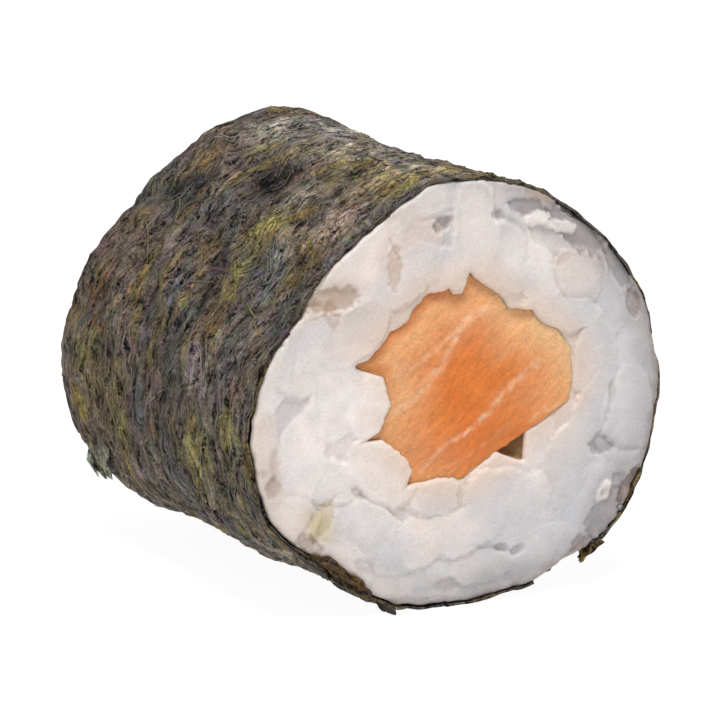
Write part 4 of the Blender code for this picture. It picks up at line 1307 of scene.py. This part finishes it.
def riceFace(x, z, clock, inner, outer, radius, front):
    # Height above the cut plane and colour at a point of a cut face
    seed = 0.0 if front else 50.0
    height, lean, tone, glow, bare = grainHeight(x, z, faceGrains[front])
    height += 0.05 * ripple(x / 2.6, z / 2.6, 103.0 + seed) + 0.03 * ripple(x / 0.9, z / 0.9, 107.0 + seed)
    height += 0.010 * ripple(x / 0.32, z / 0.32, 109.0 + seed)
    cloud = 0.5 * ease(0.35 + 1.3 * ripple(x / 3.2, z / 3.2, 113.0 + seed))
    colour = blendColour(riceShades["white"], riceShades["cool"], cloud)
    colour = blendColour(colour, riceShades["peach" if lean > 0.0 else "cool"], 0.35 * abs(lean))
    colour = blendColour(colour, riceShades["edge"], rice["plateEdgeHighlight"] * glow)
    colour = [c * (1.0 + rice["grainTone"] * tone) for c in colour]
    colour = blendColour(colour, riceShades["grey"], rice["bareGrey"] * bare)
    cool = ease((x - z * 0.7 + 2.0) / 18.0) * ease((radius - inner) / 5.0)
    colour = blendColour(colour, riceShades["cool"], rice["coolSide"] * cool)
    strength, reach = rice["salmonPeach"]
    bySalmon = ease(1.0 - (radius - fromTable(roundEdgeTable, clock)) / reach)
    colour = blendColour(colour, riceShades["peach"], strength * bySalmon)
    rim = outer - radius + 0.25 * ripple(x / 0.8, z / 0.8, 119.0)
    if x < -8.0:
        colour = blendColour(colour, riceShades["edgeWarm"], 0.35 * ease(1.0 - rim / 0.9))
    # painted shadow in grey along the rim, stronger towards the right of the front face
    side = ease(0.55 + 0.05 * x - 0.02 * z) if front else 0.6
    shadow = sum(strength * ease(1.0 - rim / reach) for strength, reach in rice["rimShadow"])
    colour = blendColour(colour, riceShades["rimShadowGrey"], side * shadow)
    for zone in zones if front else ():
        near = ovalGap(x, z, zone)
        if near < 1.4:
            shade, strength = zone[6:]
            patchy = 0.8 + 0.6 * ripple(x / 0.9, z / 0.9, 121.0)
            colour = blendColour(colour, riceShades[shade], strength * patchy * ease(1.4 - near))
    wobble = 0.20 * ripple(x / 0.5, z / 0.5, 127.0) + 0.15 * ripple(x / 1.3, z / 1.3, 129.0)
    rag = 1.3 * wobble + 0.18 * ripple(x / 0.35, z / 0.35, 133.0)
    if not front:
        return height, colour
    for hollow in faceHollows.get((math.floor(x), math.floor(z)), ()):
        depth, shade = hollow[6:]
        size = ease((math.sqrt(hollow[2] * hollow[3]) - 0.3) / 0.5)  # small hollows are shallower and softer
        inside = ease(0.5 + blend(1.5, 3.2, size) * (1.0 - ovalGap(x, z, hollow, 0.12) + rag))
        if inside > 0.0:
            inside *= blend(0.5, 1.0, size)
            height -= rice["hollowDepth"] * depth * inside
            # the hollow's colour: painted shade in the pit, and for tan, grey and yellow partly the rice's
            # own tint
            colour = blendColour(colour, riceShades[shade], rice["hollowShade"] * inside)
    for island in islands:
        near = ovalGap(x, z, island)
        if near < 1.6:
            inside = ease(0.5 + 2.5 * (1.0 - near + rag))
            height += 0.2 * inside
            colour = blendColour(colour, riceShades["white"], 0.85 * inside)
    for width, depth, points in rice["creases"]:
        away = nearLine(x + 0.4 * wobble, z - 0.4 * wobble, points) / width
        if away < 2.5:
            height -= rice["creaseDepth"] * depth * math.exp(-away * away)
    return height, colour


def bedEdge():
    # The salmon's outline with the empty corner in place of its edge there
    corners, gap = salmon["frontEdge"], rice["gap"]
    return corners[: corners.index(gap[0])] + gap + corners[corners.index(gap[-1]) + 1 :]


bedCorners = bedEdge()
bedTable = edgeTable(bedCorners)
bedCorners.append(bedCorners[0])


def holeReach(clock, y):
    # Wall of the salmon's bed, with the empty corner at the stick's lower right
    torn, over = rice["bedPlainFrom"]
    plain = ease((y + halfLength - torn) / over)
    return blend(fromTable(bedTable, clock), salmonReach(clock, y), plain) + rice["bedGap"]


def liningReach(clock, y):
    # Inner side of the nori, less the second layer where there is one, and well clear of its dents inside
    travel = alongSheet(clock, y) / degreeLength
    start = travel - freeEdgeShift(y)
    second = max(ease(1.0 - start / nori["tuck"]), ease((start - 360.0 + nori["overlap"] + 11.0) / 9.0))
    inset = nori["layerStep"] * second + nori["thickness"] + rice["clearance"]
    near = 1.0 - ease((halfLength - abs(y)) / 1.2)
    relief = blend(rice["dentRoom"], sheetRelief(travel * degreeLength, y), near)
    return rollRadius(clock, y) + relief - inset


def riceWall(clock, y):
    # Where the rice ends under the nori
    return flatUnder(onClock(liningReach(clock, y), clock, y), nori["thickness"] + rice["clearance"])


rimCache = {}


def rims(clock, front):
    key = (round(clock, 4), front)
    if key not in rimCache:
        face = -halfLength if front else halfLength
        inner = (fromTable(bedTable, clock) if front else salmonReach(clock, face)) - rice["overhang"]
        point = riceWall(clock, 0.985 * face)
        over = 0.0
        if front:
            dipClock, dipReach, dip = rice["rimDip"]
            over = 0.06 + 0.06 * math.cos(math.radians(clock - 20.0))
            over -= dip * ease(1.5 - abs(clockGap(clock, dipClock)) / dipReach)
        rimCache[key] = (inner, math.hypot(point.x, point.z) + over)
    return rimCache[key]


frontRows, backRows = rice["faceRows"]
riceRows = [("front", k / frontRows) for k in range(frontRows + 1)]
riceRows += [("wall", y) for y in rice["outerRows"]]
riceRows += [("back", 1.0 - k / backRows) for k in range(backRows + 1)]
riceRows += [("bed", y) for y in rice["innerRows"]]


def riceSample(u, v):
    # Rows run out over the front face, back along the nori, in over the back face and along the salmon's bed
    clock = 360.0 * u
    kind, along = riceRows[round(v * len(riceRows)) % len(riceRows)]
    if kind == "wall":
        point = riceWall(clock, along)
        return point, riceShades["cool"], (point.x, point.z)
    if kind == "bed":
        point = onClock(holeReach(clock, along), clock, along)
        return point, riceShades["peach" if along > -9.0 else "holeWall"], (point.x, point.z)
    front = kind == "front"
    inner, outer = rims(clock, front)
    beside, width = rice["collar"]
    collar = max(fromTable(collarTable, clock), inner + width)
    if along < beside:
        radius = blend(inner, collar, along / beside)
    else:
        radius = blend(collar, outer, (along - beside) / (1.0 - beside))
    point = onClock(radius, clock, 0.0)
    height, colour = riceFace(point.x, point.z, clock, inner, outer, radius, front)
    lipAway = radius - inner
    if front and lipAway < 1.0:
        lipAway = min(lipAway, nearLine(point.x, point.z, bedCorners) + rice["overhang"])
    height -= roundOver(lipAway, rice["lipRound"])
    height -= roundOver(outer - radius, 0.22 - 0.12 * math.cos(math.radians(clock - 20.0)))
    point.y = -(halfLength + height) if front else halfLength + height
    return point, colour, (point.x, point.z)


def riceMaterial():
    # Cooked short-grain rice: moist starch that lets light in, nearly white, with small soft highlights
    surface, tree = newMaterial("cooked sushi rice")
    tint = addNode(tree, "Attribute", {"attribute_name": "tint"})
    place = addNode(tree, "TexCoord")
    # clouds about 1.1 mm wide and a fine grain of 0.15 mm
    cloud = addNode(
        tree, "TexNoise", {"Scale": 900.0, "Detail": 4.0, "Roughness": 0.6},
        {"Vector": place.outputs["Object"]},
    )
    fine = addNode(
        tree, "TexNoise", {"Scale": 6500.0, "Detail": 2.0, "Roughness": 0.6},
        {"Vector": place.outputs["Object"]},
    )
    height = addNode(tree, "Math", {"operation": "MULTIPLY_ADD", 1: 0.8}, {0: fine, 2: cloud})
    shade = addNode(
        tree, "MapRange", {"From Min": 0.6, "From Max": 1.2, "To Min": 0.925, "To Max": 1.055},
        {"Value": height},
    )
    colour = addNode(tree, "VectorMath", {"operation": "SCALE"}, {0: tint.outputs["Color"], "Scale": shade})
    rough = addNode(
        tree, "MapRange", {"From Min": 0.3, "From Max": 0.7, "To Min": 0.20, "To Max": 0.44},
        {"Value": fine},
    )
    bump = addNode(tree, "Bump", {"Strength": 0.8, "Distance": 0.1 * mm}, {"Height": height})
    shader = addNode(
        tree, "BsdfPrincipled",
        {
            "IOR": 1.38, "Specular IOR Level": 0.6, "Subsurface Weight": 0.65,
            "Subsurface Radius": (1.0, 0.85, 0.75), "Subsurface Scale": 0.9 * mm,
        },
        {"Base Color": colour, "Roughness": rough, "Normal": bump},
    )
    addNode(tree, "OutputMaterial", {}, {"Surface": shader})
    return surface


def buildRice():
    mesh = bmesh.new()
    wrapGrid(mesh, rice["around"], len(riceRows), riceSample)
    closeSeams(mesh)
    finishPiece(mesh, "rice-body", "rice", riceMaterial())


buildRice()
print("rice made")


# Stage, light and camera
stage = dict(
    floorSize=3.0,
    floorDrop=0.00003,  # just clear of the roll's flat underside
    floorColour="#5a5a5a",
    floorGlow=0.95,  # keeps the floor nearly white, with a faint shadow
    worldColour=(0.98, 0.99, 1.0),
    worldStrength=0.27,
    sunStrength=3.0,
    sunAngle=25.0,  # a broad sun gives soft shadows
    sunPlace=(-0.08, -0.16, 0.44),
    sunTarget=(0.0, 0.0, 0.01),
    lens=200.0,
    sensor=36.0,
    distance=263.6,
    azimuth=-27.2,
    elevation=11.47,
    aim=(0.55, 0.0, 13.27),
)


def buildStage():
    # Matt studio paper, pale and even
    surface, tree = newMaterial("pale studio floor")
    shader = addNode(
        tree, "BsdfPrincipled",
        {
            "Base Color": (*linear(stage["floorColour"]), 1.0), "Roughness": 0.9,
            "Emission Color": (1.0, 1.0, 1.0, 1.0), "Emission Strength": stage["floorGlow"],
        },
    )
    addNode(tree, "OutputMaterial", {}, {"Surface": shader})
    mesh = bmesh.new()
    bmesh.ops.create_grid(mesh, x_segments=1, y_segments=1, size=0.5 * stage["floorSize"])
    bmesh.ops.translate(mesh, verts=mesh.verts, vec=(0.0, 0.0, -stage["floorDrop"]))
    addObject(mesh, "floor", surface)


def aimAt(thing, target):
    thing.rotation_mode = "QUATERNION"
    thing.rotation_quaternion = (Vector(target) - thing.location).to_track_quat("-Z", "Y")


def buildLights():
    world = bpy.data.worlds.new("studio")
    bpy.context.scene.world = world
    world.use_nodes = True
    background = world.node_tree.nodes["Background"]
    background.inputs["Color"].default_value = (*stage["worldColour"], 1.0)
    background.inputs["Strength"].default_value = stage["worldStrength"]
    sun = bpy.data.objects.new("soft top light", bpy.data.lights.new("soft top light", "SUN"))
    sun.data.energy = stage["sunStrength"]
    sun.data.angle = math.radians(stage["sunAngle"])
    sun.location = stage["sunPlace"]
    aimAt(sun, stage["sunTarget"])
    bpy.context.scene.collection.objects.link(sun)


def buildCamera():
    data = bpy.data.cameras.new("camera")
    data.lens = stage["lens"]
    data.sensor_width = stage["sensor"]
    data.clip_start = 0.01
    data.clip_end = 10.0
    camera = bpy.data.objects.new("camera", data)
    bpy.context.scene.collection.objects.link(camera)
    ca, sa = cosSin(stage["azimuth"])
    ce, se = cosSin(stage["elevation"])
    back = Vector((sa * ce, -ca * ce, se))
    aim = Vector(stage["aim"]) * mm
    camera.location = aim + back * stage["distance"] * mm
    aimAt(camera, aim)
    bpy.context.scene.camera = camera


buildStage()
buildLights()
buildCamera()
bpy.context.scene.view_settings.view_transform = "Standard"
print("stage, lights and camera made")

bpy.context.view_layer.update()
